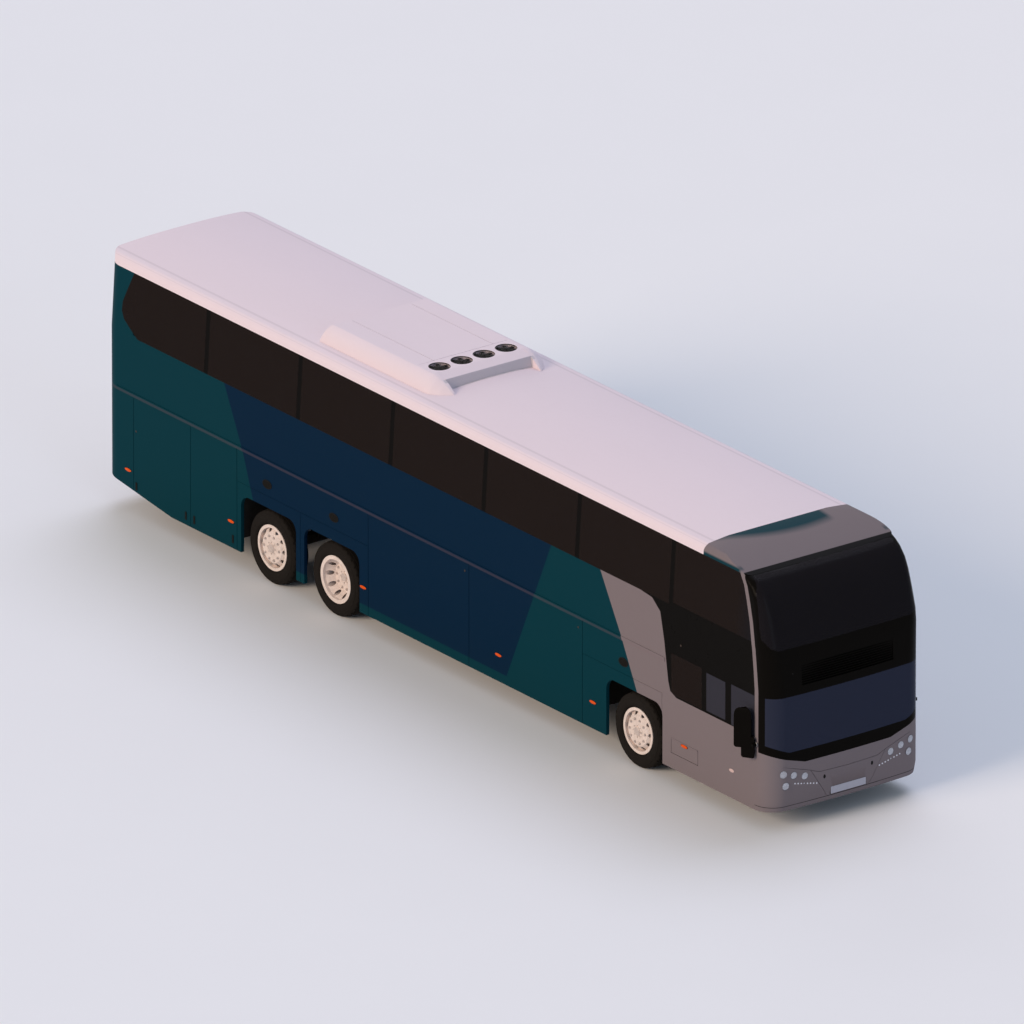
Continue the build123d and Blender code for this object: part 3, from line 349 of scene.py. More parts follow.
def capPaint(name):
    paint = Paint(name, Specular_IOR_Level=0.03)
    x, y, z = paint.xyz()
    aside = y - bloom["widestY"]
    reach = bloom["reach"] - aside * aside * bloom["taper"]
    nearEnd, farEnd = bloom["ends"]
    rear = 1 - (x - bloom["from"]).above(reach, bloom["soft"])
    rear = rear * (1 - y.above(farEnd, 0.08)) * (y - nearEnd).above(0.0, 0.25)
    eave = (1 - z.above(bloom["lineTop"], 0.03)) * (1 - x.above(bloom["lineFront"], 0.06))
    eave = eave * abs(y).above(bloom["lineFrom"], 0.02)
    colour = paint.mix(rear.most(eave), livery["grey"], livery["teal"])
    patchy = paint.noise(1.7, 5, 0.6)
    colour = paint.mix(patchy * 0.05, colour, tone(100, 100, 106))
    paint.feed(Base_Color=colour, Roughness=0.42 + patchy * 0.12)
    paint.bump(paint.noise(260, 2), 0.03, 0.0006)
    return paint.material


roofMarks = {
    "joints": (3.583, 3.612, 3.79), "jointsFrom": 0.97,    # heights along the eaves and the unit's flanks
    "lidJoint": (3.815, 3.8335), "lidHalf": 0.60, "lidFront": -1.0,
    "unitFace": (-0.507, -0.45), "faceHalf": 0.74, "faceFoot": 3.6,
}


def roofPaint(name):
    paint = Paint(name, Specular_IOR_Level=0.08)
    x, y, z = paint.xyz()
    patchy = paint.noise(0.9, 6, 0.65, (0.5, 1, 1))
    fine = paint.noise(14, 5, 0.7)
    grime = (patchy * fine).above(0.36, 0.5)
    seam = 0
    for height in roofMarks["joints"]:
        seam = (1 - abs(z - height).above(0.002, 0.0015)).most(seam)
    seam = seam * abs(y).above(roofMarks["jointsFrom"], 0.002) * 0.16
    low, high = roofMarks["lidJoint"]
    lid = z.above(low, 0.001) * (1 - z.above(high, 0.0008)) * (1 - abs(y).above(roofMarks["lidHalf"], 0.002))
    seam = seam.most(lid * (1 - x.above(roofMarks["lidFront"], 0.002)) * 0.5)
    colour = paint.mix(grime * 0.08, tone(224, 209, 216), tone(180, 168, 162))
    colour = paint.mix(seam, colour, tone(120, 110, 116))
    # painted shade: the roof unit's front face is painted darker, standing in for the shade that falls on it
    rear, front = roofMarks["unitFace"]
    face = x.above(rear, 0.008) * (1 - x.above(front, 0.01)) * (1 - abs(y).above(roofMarks["faceHalf"], 0.01))
    face = face * z.above(roofMarks["faceFoot"], 0.01)
    colour = paint.mix(face * 0.8, colour, tone(190, 184, 190))
    paint.feed(Base_Color=colour, Roughness=0.5 + patchy * 0.12)
    paint.bump(paint.noise(180, 2), 0.04, 0.0006)
    return paint.material


def glossBlack(name, colour=(12, 10, 8), rough=0.24):
    paint = Paint(name, Specular_IOR_Level=0.02)
    smear = paint.noise(6, 5, 0.6)
    paint.feed(
        Base_Color=paint.mix(smear * 0.2, tone(*colour), tone(20, 18, 16)),
        Roughness=rough + smear * 0.1,
    )
    paint.bump(paint.noise(90, 2), 0.02, 0.0005)
    return paint.material


# brown tint above, bluish panes round the driver, a black foot on the lower screen
tint = {
    "driverTop": 2.2, "driverFrom": 5.90, "screenFrom": 7.02, "frontFrom": 6.7,
    "footFrom": 6.92, "footHeight": 1.002, "footBow": 0.1,
}


def tintedGlass(name):
    paint = Paint(name, Specular_IOR_Level=0.02, IOR=1.5)
    x, y, z = paint.xyz()
    low = 1 - z.above(tint["driverTop"], 0.2)
    ahead = x.above(tint["driverFrom"], 0.02)
    colour = paint.mix(x.above(tint["frontFrom"], 0.3), tone(28, 21, 18), tone(24, 22, 25))
    colour = paint.mix(low * ahead, colour, tone(51, 51, 60))
    colour = paint.mix(low * x.above(tint["screenFrom"], 0.1), colour, tone(43, 47, 63))
    footTop = tint["footHeight"] + y * y * tint["footBow"]
    foot = (1 - z.above(footTop, 0.004)) * x.above(tint["footFrom"], 0.02)
    colour = paint.mix(foot, colour, tone(9, 8, 8))
    haze = paint.noise(2.2, 4, 0.6)
    paint.feed(Base_Color=paint.mix(haze * 0.1, colour, tone(38, 36, 40)), Roughness=0.12 + haze * 0.08)
    paint.feed(Alpha=0.94 + haze * 0.03)
    return paint.material


def tyreRubber(name):
    paint = Paint(name, Specular_IOR_Level=0.08)
    worn = paint.noise(22, 6, 0.65)
    grain = paint.noise(420, 3)
    colour = paint.mix(worn, tone(16, 14, 12), tone(36, 32, 29))
    paint.feed(Base_Color=colour, Roughness=0.72 + worn * 0.2)
    paint.bump(grain + worn, 0.25, 0.0008)
    return paint.material


def rimEnamel(name, clean=(232, 216, 208), dusty=(150, 138, 130)):
    paint = Paint(name, Specular_IOR_Level=0.3)
    brake = paint.noise(16, 6, 0.7)
    colour = paint.mix(brake.above(0.52, 0.5) * 0.45, tone(*clean), tone(*dusty))
    paint.feed(Base_Color=colour, Roughness=0.42 + brake * 0.2)
    paint.bump(paint.noise(200, 3), 0.08, 0.0006)
    return paint.material


def chassisBlack(name, low=(24, 24, 25), high=(52, 48, 45), rough=0.62, scale=12):
    paint = Paint(name, Specular_IOR_Level=0.1)
    dirt = paint.noise(scale, 6, 0.7)
    paint.feed(Base_Color=paint.mix(dirt, tone(*low), tone(*high)), Roughness=rough + dirt * 0.25)
    paint.bump(paint.noise(140, 4), 0.2, 0.001)
    return paint.material


def lampLens(name, colour, glow=0.0):
    paint = Paint(name, Specular_IOR_Level=0.15)
    ribs = paint.noise(160, 2, 0.5)
    dark = tuple(c * 0.86 for c in colour)
    base = paint.mix(ribs, tone(*dark), tone(*colour))
    paint.feed(Base_Color=base, Roughness=0.12 + ribs * 0.15)
    paint.bump(ribs, 0.3, 0.001)
    if glow:
        paint.feed(Emission_Color=base)
        paint.surface.inputs["Emission Strength"].default_value = glow
    return paint.material


def wovenCloth(name, dark, light):
    paint = Paint(name, Sheen_Weight=0.35, Sheen_Roughness=0.5, Specular_IOR_Level=0.2)
    place = paint.place()
    wave = {"wave_type": "BANDS", "bands_direction": "Y"}
    across = paint.node("ShaderNodeTexWave", wave, {"Vector": place, "Scale": 130.0, "Distortion": 0.6}, 1)
    wave = {"wave_type": "BANDS", "bands_direction": "Z"}
    along = paint.node("ShaderNodeTexWave", wave, {"Vector": place, "Scale": 130.0, "Distortion": 0.6}, 1)
    weave = across * along
    fleck = paint.noise(38, 3, 0.6)
    colour = paint.mix(weave * 0.5 + fleck * 0.4, tone(*dark), tone(*light))
    paint.feed(Base_Color=colour, Roughness=0.82 + fleck * 0.1)
    paint.bump(weave, 0.35, 0.0008)
    return paint.material


def floorVinyl(name):
    paint = Paint(name, Specular_IOR_Level=0.3)
    fleck = paint.node("ShaderNodeTexVoronoi", {}, {"Vector": paint.place(), "Scale": 90.0})
    worn = paint.noise(3, 5)
    colour = paint.mix(fleck * 0.6, tone(58, 60, 66), tone(86, 88, 94))
    paint.feed(Base_Color=paint.mix(worn * 0.3, colour, tone(50, 48, 46)), Roughness=0.6 + worn * 0.2)
    paint.bump(fleck, 0.15, 0.0008)
    return paint.material


def brightSteel(name, colour=(176, 172, 170), rough=0.28):
    paint = Paint(name, Metallic=0.85)
    brushed = paint.noise(120, 4, 0.6, (1, 6, 1))
    dark = tuple(c * 0.7 for c in colour)
    paint.feed(Base_Color=paint.mix(brushed, tone(*dark), tone(*colour)), Roughness=rough + brushed * 0.2)
    paint.bump(brushed, 0.1, 0.0005)
    return paint.material


def clearCover(name):
    paint = Paint(name, Specular_IOR_Level=0.3, IOR=1.45)
    ribs = paint.noise(90, 2, 0.4)
    colour = paint.mix(ribs, tone(196, 196, 204), tone(222, 222, 230))
    paint.feed(Base_Color=colour, Roughness=0.06 + ribs * 0.06, Alpha=0.42 + ribs * 0.16)
    paint.bump(ribs, 0.15, 0.0008)
    return paint.material


def platePaint(name):
    paint = Paint(name, Specular_IOR_Level=0.2)
    grime = paint.noise(30, 5, 0.7)
    paint.feed(Base_Color=paint.mix(grime * 0.35, tone(176, 174, 186), tone(140, 138, 146)))
    paint.feed(Roughness=0.4 + grime * 0.2)
    paint.bump(paint.noise(300, 2), 0.1, 0.0003)
    return paint.material


paints = {
    "teal_paint": bodyPaint("twoToneBody"),
    "grey_paint": bodyPaint("greyFront"),
    "cap": capPaint("greyCap"),
    "white_paint": roofPaint("whiteRoof"),
    "gloss_black": glossBlack("glossBlack"),
    "tinted_glass": tintedGlass("tintedGlass"),
    "lamp_lens": lampLens("clearLens", (214, 214, 224), 0.12),
    "red_lens": lampLens("redLens", (170, 14, 16), 0.05),
    "amber_lens": lampLens("amberLens", (232, 84, 0)),
    "pale_lens": lampLens("paleLens", (212, 184, 180)),
    "tyre_rubber": tyreRubber("tyreRubber"),
    "rim_paint": rimEnamel("rimEnamel"),
    "chassis_paint": chassisBlack("chassisBlack"),
    "cast_steel": chassisBlack("castSteel", (60, 60, 62), (96, 90, 84), 0.5, 20),
    "floor_board": floorVinyl("floorVinyl"),
    "fan_plastic": chassisBlack("fanPlastic", (18, 17, 17), (40, 37, 35), 0.45, 30),
    "seat_fabric": wovenCloth("seatCloth", (20, 30, 62), (66, 82, 120)),
    "dash_plastic": chassisBlack("dashPlastic", (34, 34, 36), (56, 55, 56), 0.6, 60),
    "moulding": chassisBlack("blackMoulding", (13, 12, 11), (26, 24, 22), 0.5, 40),
    "wheel_nut": rimEnamel("nutEnamel", (206, 192, 186), (112, 102, 96)),
    "bright_steel": brightSteel("brightSteel"),
    "dull_steel": brightSteel("dullSteel", (84, 72, 66), 0.5),
    "mirror_glass": brightSteel("mirrorGlass", (205, 208, 212), 0.03),
    "reflector": brightSteel("lampReflector", (214, 214, 222), 0.18),
    "lamp_rim": chassisBlack("lampRim", (88, 84, 90), (120, 114, 120), 0.4, 60),
    "clear_cover": clearCover("clearCover"),
    "plate": platePaint("blankPlate"),
    "head_cloth": wovenCloth("headCloth", (64, 70, 84), (128, 134, 148)),
}


# every CAD node gets its finish; curved ones are shown by a merged, smoothly shaded copy
print("coach: finishes on the frame")
for name, node in nodes.items():
    node.data.materials.clear()
    node.data.materials.append(paints["cap" if name == "front_cap" else slotOf[name]])


def smoothCopy(name, angle=30):
    source = nodes[name]
    piece = source.copy()
    piece.data = source.data.copy()
    piece.name = name + "Skin"
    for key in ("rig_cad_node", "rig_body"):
        if key in piece:
            del piece[key]
    piece.parent = None
    bpy.context.scene.collection.objects.link(piece)
    startEdit(piece)
    bpy.ops.mesh.select_all(action="SELECT")
    bpy.ops.mesh.customdata_custom_splitnormals_clear()
    bpy.ops.mesh.remove_doubles(threshold=0.00005)
    endEdit()
    smooth(piece, angle)
    modify(piece, "WEIGHTED_NORMAL", keep_sharp=True, weight=60)
    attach(piece, bodyOf[name])
    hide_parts(name)
    return piece


curved = [
    "side_wall_left", "side_wall_right", "front_mask", "front_cap", "front_panel", "roof_shell",
    "rear_wall", "end_glass", "side_glass_left", "side_glass_right", "side_mask_left", "side_mask_right",
    "roof_unit", "steering_wheel", "front_axle", "rear_axles", "mirrors",
]
curved += [f"{axle}_rim_{side}" for axle in ("front", "drive", "tag") for side in ("left", "right")]
skins = {name: smoothCopy(name) for name in curved}


def place(piece, turn=(0, 0, 0), centre=(0, 0, 0)):
    piece.rotation_euler = turn
    applyPlace(piece)
    piece.location = centre
    applyPlace(piece)
    return piece


def scaled(piece, factors):
    piece.scale = factors
    applyPlace(piece)
    return piece


def removePiece(piece):
    bpy.data.objects.remove(piece)


def roundCopies(piece, count, centre, axis="Y", start=0.0):
    pieces = []
    for i in range(count):
        copy = copyOf(piece, piece.name + str(i), -Vector(centre))
        angle = start + 2 * math.pi * i / count
        place(copy, tuple(angle if axis == letter else 0 for letter in "XYZ"), centre)
        pieces.append(copy)
    removePiece(piece)
    return pieces


def insetFace(piece, test, thickness, depth):
    startEdit(piece)
    pickFaces(piece, test)
    bpy.ops.mesh.inset(thickness=thickness, depth=depth)
    endEdit()


awayY = (math.radians(90), 0, 0)        # turns +Z to -Y

print("coach: tyres")
tyre = {
    "axles": {"front": 4.376, "drive": -2.244, "tag": -3.644},
    "height": 0.515, "outer": 1.097, "inner": 0.757,
    "section": [                                   # radius, distance from the tyre's middle
        (0.287, 0.098), (0.305, 0.106), (0.332, 0.107), (0.337, 0.118), (0.347, 0.1275), (0.352, 0.1275),
        (0.358, 0.133), (0.380, 0.1385), (0.402, 0.140), (0.425, 0.1385), (0.444, 0.134), (0.447, 0.1355),
        (0.453, 0.134), (0.456, 0.130), (0.472, 0.123), (0.487, 0.116), (0.498, 0.108), (0.508, 0.096),
        (0.511, 0.078), (0.512, 0.067), (0.502, 0.065), (0.502, 0.057), (0.513, 0.055), (0.5145, 0.026),
        (0.503, 0.024), (0.503, 0.015), (0.515, 0.013),
    ],
    "segments": 90, "slotEvery": 3, "slotDepth": 0.007,
}
half = tyre["section"]
rings = [(radius, -out) for radius, out in half] + [(radius, out) for radius, out in reversed(half)]
oneTyre = turned("oneTyre", rings + rings[:1], segments=tyre["segments"], angle=28)


def shoulderBlock(face):
    spot = face.calc_center_median()
    radius = math.hypot(spot.x, spot.y)
    step = int((math.atan2(spot.y, spot.x) / (2 * math.pi) + 0.5) * tyre["segments"] + 0.25)
    return 0.500 < radius < 0.5112 and 0.085 < abs(spot.z) < 0.104 and step % tyre["slotEvery"] == 0


startEdit(oneTyre)
pickFaces(oneTyre, shoulderBlock)
bpy.ops.mesh.inset(thickness=0.004, depth=-tyre["slotDepth"], use_individual=True)
endEdit()
smooth(oneTyre, 28)
place(oneTyre, awayY)
for axle, x in tyre["axles"].items():
    for side, sideName in sideNames.items():
        rows = [tyre["outer"], tyre["inner"]] if axle == "drive" else [tyre["outer"]]
        parts = [copyOf(oneTyre, axle, (x, side * y, tyre["height"])) for y in rows]
        piece = joined(parts, f"{axle}Tyre_{sideName}")
        body, stoodFor = f"{axle}_wheel_{sideName}", [f"{axle}_tyre_{sideName}"]
        dress(piece, paints["tyre_rubber"], body, stoodFor)
removePiece(oneTyre)

print("coach: wheel nuts and hubs")
wheelTrim = {
    "disc": {"front": 1.221, "drive": 1.060, "tag": 1.221},
    "cap": {"front": 1.239, "drive": 1.082, "tag": 1.239},
    "nutCircle": 0.1675, "nuts": 10, "firstNut": 18, "boltCircle": 0.081, "bolts": 8, "boltSink": 0.014,
    "valveRadius": 0.268, "valveSeat": 1.17,
    "washer": [(0, 0), (0.020, 0), (0.020, 0.002), (0.0175, 0.0035), (0, 0.0035)],
    "hexagon": [(0, 0.003), (0.0165, 0.003), (0.0165, 0.016), (0.014, 0.019), (0, 0.019)],
    "stud": [(0, 0.016), (0.0095, 0.016), (0.0095, 0.024), (0.0075, 0.026), (0, 0.026)],
    "bolt": [(0, 0), (0.010, 0), (0.010, 0.007), (0.008, 0.009), (0, 0.009)],
}
facets = {"washer": 20, "hexagon": 6, "stud": 14}
nutParts = [turned(name, wheelTrim[name], segments=count) for name, count in facets.items()]
nut = place(joined(nutParts, "nut"), awayY)
bolt = place(turned("bolt", wheelTrim["bolt"], segments=6), awayY)
capProfile = [(0, 0), (0.056, 0), (0.056, 0.002), (0.052, 0.005), (0.044, 0.005), (0.041, 0.002)]
capProfile += [(0.030, 0.002), (0.022, 0.0045), (0, 0.0055)]
hubCap = place(turned("hubCap", capProfile, segments=48), awayY)
stem = [(0, 0), (0.0055, 0), (0.0055, 0.018), (0.004, 0.020), (0.004, 0.034), (0.0050, 0.035)]
stem += [(0.0050, 0.042), (0, 0.043)]
valve = place(turned("valve", stem, segments=14), awayY)
for axle, x in tyre["axles"].items():
    z = tyre["height"]
    disc, cap = wheelTrim["disc"][axle], wheelTrim["cap"][axle]
    first = copyOf(nut, "wheelNut", (x, -disc, z + wheelTrim["nutCircle"]))
    parts = roundCopies(first, wheelTrim["nuts"], (x, -disc, z), start=math.radians(wheelTrim["firstNut"]))
    first = copyOf(bolt, "capBolt", (x, -cap + wheelTrim["boltSink"], z + wheelTrim["boltCircle"]))
    parts += roundCopies(first, wheelTrim["bolts"], (x, -cap, z))
    parts.append(copyOf(hubCap, "cap", (x, -cap, z)))
    parts.append(copyOf(valve, "stem", (x + wheelTrim["valveRadius"], -wheelTrim["valveSeat"], z)))
    right = joined(parts, f"{axle}WheelNuts_right")
    left = copyOf(right, f"{axle}WheelNuts_left", mirrorY=True)
    for piece, sideName in ((right, "right"), (left, "left")):
        dress(piece, paints["wheel_nut"], f"{axle}_wheel_{sideName}")
for piece in (nut, bolt, hubCap, valve):
    removePiece(piece)

print("coach: vents, markers, latches and locks")
sideTrim = {
    "face": -1.275,
    "vents": (-3.670, -2.198, 4.138), "ventHeight": 1.426, "ventRadius": 0.063, "ventStretch": 1.62,
    "ventRim": 0.010, "ventSlats": (-0.036, -0.018, 0.0, 0.018, 0.036),
    "markers": {                                  # x: body on the right, body on the left
        -6.766: ("coach", "coach"), -4.474: ("battery_flap_right", "engine_flap_left"),
        -1.552: ("coach", "coach"), 1.417: ("luggage_door_front_right", "luggage_door_front_left"),
        3.476: ("coach", "coach"), 5.459: ("service_flap_right", "coach"),
    },
    "markerHeight": 0.644, "hatchMarkerRaise": 0.018, "sideLamp": (6.485, 0.660),
    "latches": {
        (-6.579, 0.465): ("engine_flap_right", "engine_flap_left"),
        (-5.478, 0.401): ("engine_flap_right", None),
        (-5.291, 0.397): ("battery_flap_right", None),
        (-4.433, 0.403): ("battery_flap_right", "engine_flap_left"),
    },
    "locks": {
        (-6.584, 1.248): ("engine_flap_right", "engine_flap_left"),
        (0.683, 1.600): ("luggage_door_rear_right", "luggage_door_rear_left"),
        (3.159, 1.601): ("luggage_door_front_right", "luggage_door_front_left"),
        (5.382, 2.060): ("coach", "coach"),
    },
}


def sidePair(piece, name, bodies, paint):
    right, left = bodies
    piece.name = name + "_right"
    if left:
        dress(copyOf(piece, name + "_left", mirrorY=True), paint, left)
    dress(piece, paint, right)


def closedRing(name, inner, outer, low, high, edge=0.0015, segments=40):
    rings = [(inner, low), (outer, low), (outer, high - edge), (outer - edge, high), (inner + edge, high)]
    rings += [(inner, high - edge), (inner, low)]
    return turned(name, rings, segments=segments)


for index, x in enumerate(sideTrim["vents"]):
    radius = sideTrim["ventRadius"]
    parts = [closedRing("rim", radius - sideTrim["ventRim"], radius, 0.0, 0.007)]
    inside = radius - 0.008
    parts.append(turned("back", [(0, 0.0004), (inside, 0.0004), (inside, 0.0016), (0, 0.0016)]))
    for height in sideTrim["ventSlats"]:
        reach = math.sqrt(inside ** 2 - height ** 2)
        slat = block("slat", (-reach, -0.001, 0), (reach, 0.001, 0.012), 0.0006, 1)
        parts.append(place(slat, (math.radians(40), 0, 0), (0, height, 0.001)))
    vent = scaled(joined(parts, "vent"), (sideTrim["ventStretch"], 1, 1))
    place(vent, awayY, (x, sideTrim["face"], sideTrim["ventHeight"]))
    sidePair(vent, f"sideVent_{index}", ("coach", "coach"), paints["moulding"])

domeProfile = [(0, 0.0025), (0.0215, 0.0025), (0.0215, 0.006), (0.0195, 0.0085), (0.012, 0.0105)]
domeProfile += [(0, 0.0112)]
for index, (x, bodies) in enumerate(sideTrim["markers"].items()):
    raised = sideTrim["hatchMarkerRaise"] if bodies[0] == "service_flap_right" else 0
    spot = (x, sideTrim["face"], sideTrim["markerHeight"] + raised)
    lens = place(scaled(turned("lens", domeProfile, segments=36), (3.2, 1, 1)), awayY, spot)
    sidePair(lens, f"markerLens_{index}", bodies, paints["amber_lens"])
    seat = scaled(closedRing("seat", 0.012, 0.0245, 0.0, 0.0045), (3.1, 1, 1))
    sidePair(place(seat, awayY, spot), f"markerSeat_{index}", bodies, paints["moulding"])

spot = (sideTrim["sideLamp"][0], sideTrim["face"], sideTrim["sideLamp"][1])
lens = place(scaled(turned("lens", domeProfile, segments=36), (2.4, 1.1, 1)), awayY, spot)
sidePair(lens, "sideLamp", ("coach", None), paints["pale_lens"])

for index, ((x, z), bodies) in enumerate(sideTrim["latches"].items()):
    latch = block("latch", (-0.019, -0.057, 0), (0.019, 0.057, 0.007), 0.003)
    insetFace(latch, lambda face: face.normal.z > 0.9 and face.calc_area() > 0.002, 0.005, -0.0045)
    grip = block("grip", (-0.012, -0.010, 0.001), (0.012, 0.040, 0.0055), 0.002)
    latch = place(joined([latch, grip], "latch"), awayY, (x, sideTrim["face"], z))
    sidePair(latch, f"flapLatch_{index}", bodies, paints["moulding"])

for index, ((x, z), bodies) in enumerate(sideTrim["locks"].items()):
    barrelRings = [(0, 0), (0.015, 0), (0.015, 0.003), (0.012, 0.005), (0.009, 0.005), (0.008, 0.004)]
    barrelRings += [(0, 0.004)]
    barrel = turned("barrel", barrelRings, segments=28)
    key = block("key", (-0.0015, -0.005, 0.0035), (0.0015, 0.005, 0.0055), 0.0004, 1)
    lock = place(joined([barrel, key], "lock"), awayY, (x, sideTrim["face"], z))
    sidePair(lock, f"flapLock_{index}", bodies, paints["dull_steel"])

print("coach: flap seals")
# rubber strips on the door posts, behind the flaps' joints
flapSeal = {
    "x": (-6.645, -5.375, -4.343, -1.442, 0.771, 3.246), "noLeft": -5.375,
    "skirtRiseFrom": -5.3, "skirtRise": 0.13,
    "half": 0.026, "depth": (1.194, 1.217), "heights": (0.285, 1.800), "cleat": (1.742, 1.2255),
}
sealParts = []
for x in flapSeal["x"]:
    left, right = x - flapSeal["half"], x + flapSeal["half"]
    back, front = flapSeal["depth"]
    low, high = flapSeal["heights"]
    low += max(0, flapSeal["skirtRiseFrom"] - x) * flapSeal["skirtRise"]
    cleatLow, wall = flapSeal["cleat"]
    seal = block("seal", (left, back, low), (right, front, high), 0.005)
    bead = block("bead", (x - 0.002, front - 0.004, low), (x + 0.002, front + 0.002, cleatLow), 0.001, 1)
    cleat = block("cleat", (left, back + 0.002, cleatLow), (right, wall, high - 0.004), 0.002, 1)
    strip = joined([seal, bead, cleat], "strip")
    sealParts.append(copyOf(strip, "strip", mirrorY=True))
    if x == flapSeal["noLeft"]:
        removePiece(strip)
    else:
        sealParts.append(strip)
dress(joined(sealParts, "flapSeals"), paints["moulding"], "coach")

print("coach: nose")
nose = {
    "lamps": ((1.043, 0.802), (0.879, 0.759), (0.705, 0.713), (1.010, 0.635)),
    "ledEnds": ((0.860, 0.640), (0.515, 0.568)), "leds": 8,
    "towCover": (0.390, 0.633), "sensor": (-0.890, 2.190),
    "plateHalf": 0.2875, "plateHeights": (0.3620, 0.4620), "plateFace": 7.3235,
    "cornerFrom": 0.985, "cornerBow": 0.0055, "probe": 0.06,
}
noseTrees = [
    BVHTree.FromPolygons([v.co for v in node.data.vertices], [p.vertices for p in node.data.polygons])
    for node in (nodes["front_panel"], nodes["front_mask"])
]


def noseAt(y, z):
    # the nose's surface and its normal, by the average round the spot, as a lamp hole may be there
    hits = []
    step = nose["probe"]
    for dy, dz in ((-step, 0), (step, 0), (0, -step), (0, step)):
        for tree in noseTrees:
            found = tree.ray_cast(Vector((9, y + dy, z + dz)), Vector((-1, 0, 0)))
            if found[0]:
                hits.append(found)
    spot = sum((hit[0] for hit in hits), Vector()) / len(hits)
    normal = sum((hit[1] for hit in hits), Vector()).normalized()
    return spot, normal


def onNose(piece, y, z, sink=0.0):
    spot, normal = noseAt(y, z)
    bow = nose["cornerBow"] if abs(y) > nose["cornerFrom"] else 0
    place(piece, tuple(normal.to_track_quat("Z", "Y").to_euler()), (spot.x - sink + bow, y, z))
    return piece


bowl = [(0, -0.0275), (0.0475, -0.0275), (0.0475, -0.004), (0.0445, -0.004), (0.032, -0.016)]
bowl += [(0.014, -0.022), (0.011, -0.0225), (0.009, -0.015), (0, -0.013)]
cover = [(0, -0.0005), (0.046, -0.0045), (0.0515, -0.0045), (0.0515, -0.0010), (0.046, 0.0008)]
cover += [(0.025, 0.003), (0, 0.004)]
dot = [(0, -0.006), (0.0105, -0.006), (0.0105, 0.001), (0.007, 0.0028), (0, 0.0035)]
bowls, covers, rims, diodes = [], [], [], []
for y, z in nose["lamps"]:
    for side in (-1, 1):
        bowls.append(onNose(turned("bowl", bowl, segments=40), side * y, z))
        covers.append(onNose(turned("cover", cover, segments=40), side * y, z))
        rims.append(onNose(closedRing("rim", 0.0515, 0.0550, -0.003, 0.0030), side * y, z))
start, end = (Vector(p) for p in nose["ledEnds"])
for i in range(nose["leds"]):
    y, z = start.lerp(end, i / (nose["leds"] - 1))
    for side in (-1, 1):
        diodes.append(onNose(turned("diode", dot, segments=20), side * y, z))
dress(joined(bowls, "lampBowls"), paints["reflector"], "coach", ["headlamps"])
dress(joined(covers, "lampCovers"), paints["clear_cover"], "coach")
dress(joined(rims, "lampRims"), paints["lamp_rim"], "coach")
dress(joined(diodes, "dayLights"), paints["lamp_lens"], "coach")

y, z = nose["towCover"]
towCovers = []
tow = [(0, -0.001), (0.019, -0.001), (0.019, 0.001), (0.016, 0.0022), (0.006, 0.0022), (0.004, 0.0012)]
tow += [(0, 0.0012)]
for side in (-1, 1):
    towCovers.append(onNose(scaled(turned("tow", tow, segments=32), (1.0, 1.5, 1)), side * y, z))
dress(joined(towCovers, "towCovers"), paints["moulding"], "coach")
eye = [(0, -0.001), (0.011, -0.001), (0.011, 0.002), (0.008, 0.004), (0, 0.0045)]
sensor = onNose(turned("maskSensor", eye, segments=28), *nose["sensor"])
dress(sensor, paints["moulding"], "coach")


def carve(skin, low, high):
    cutter = block("cutter", low, high, 0.004)
    modify(skin, "BOOLEAN", object=cutter, operation="DIFFERENCE", solver="EXACT")
    removePiece(cutter)
    smooth(skin, 30)


# blank plates in shallow pockets, so that nothing passes the panels
low, high = nose["plateHeights"]
wide, face = nose["plateHalf"], nose["plateFace"]
carve(skins["front_panel"], (7.296, -wide - 0.005, low - 0.005), (7.400, wide + 0.005, high + 0.005))
outer = (7.3215, wide + 0.004, high + 0.004)
holder = block("frontPlateHolder", (7.288, -wide - 0.004, low - 0.004), outer, 0.003)
insetFace(holder, lambda f: f.normal.x > 0.9 and f.calc_area() > 0.02, 0.003, -0.003)
dress(holder, paints["moulding"], "coach")
plate = block("frontPlate", (7.3165, -wide, low), (face, wide, high), 0.001, 1)
insetFace(plate, lambda f: f.normal.x > 0.9 and f.calc_area() > 0.02, 0.004, -0.0008)
dress(plate, paints["plate"], "coach")

rearPlate = {"half": 0.260, "heights": (0.462, 0.572), "face": -7.3235}
low, high = rearPlate["heights"]
wide, face = rearPlate["half"], rearPlate["face"]
carve(skins["rear_wall"], (-7.400, -wide - 0.012, low - 0.010), (-7.310, wide + 0.012, high + 0.010))
outer = (-7.305, wide + 0.011, high + 0.009)
holder = block("rearPlateHolder", (-7.321, -wide - 0.011, low - 0.009), outer, 0.003)
insetFace(holder, lambda f: f.normal.x < -0.9 and f.calc_area() > 0.02, 0.009, -0.003)
dress(holder, paints["moulding"], "coach")
plate = block("rearPlate", (face, -wide, low), (-7.316, wide, high), 0.001, 1)
insetFace(plate, lambda f: f.normal.x < -0.9 and f.calc_area() > 0.02, 0.004, -0.0008)
dress(plate, paints["plate"], "coach")

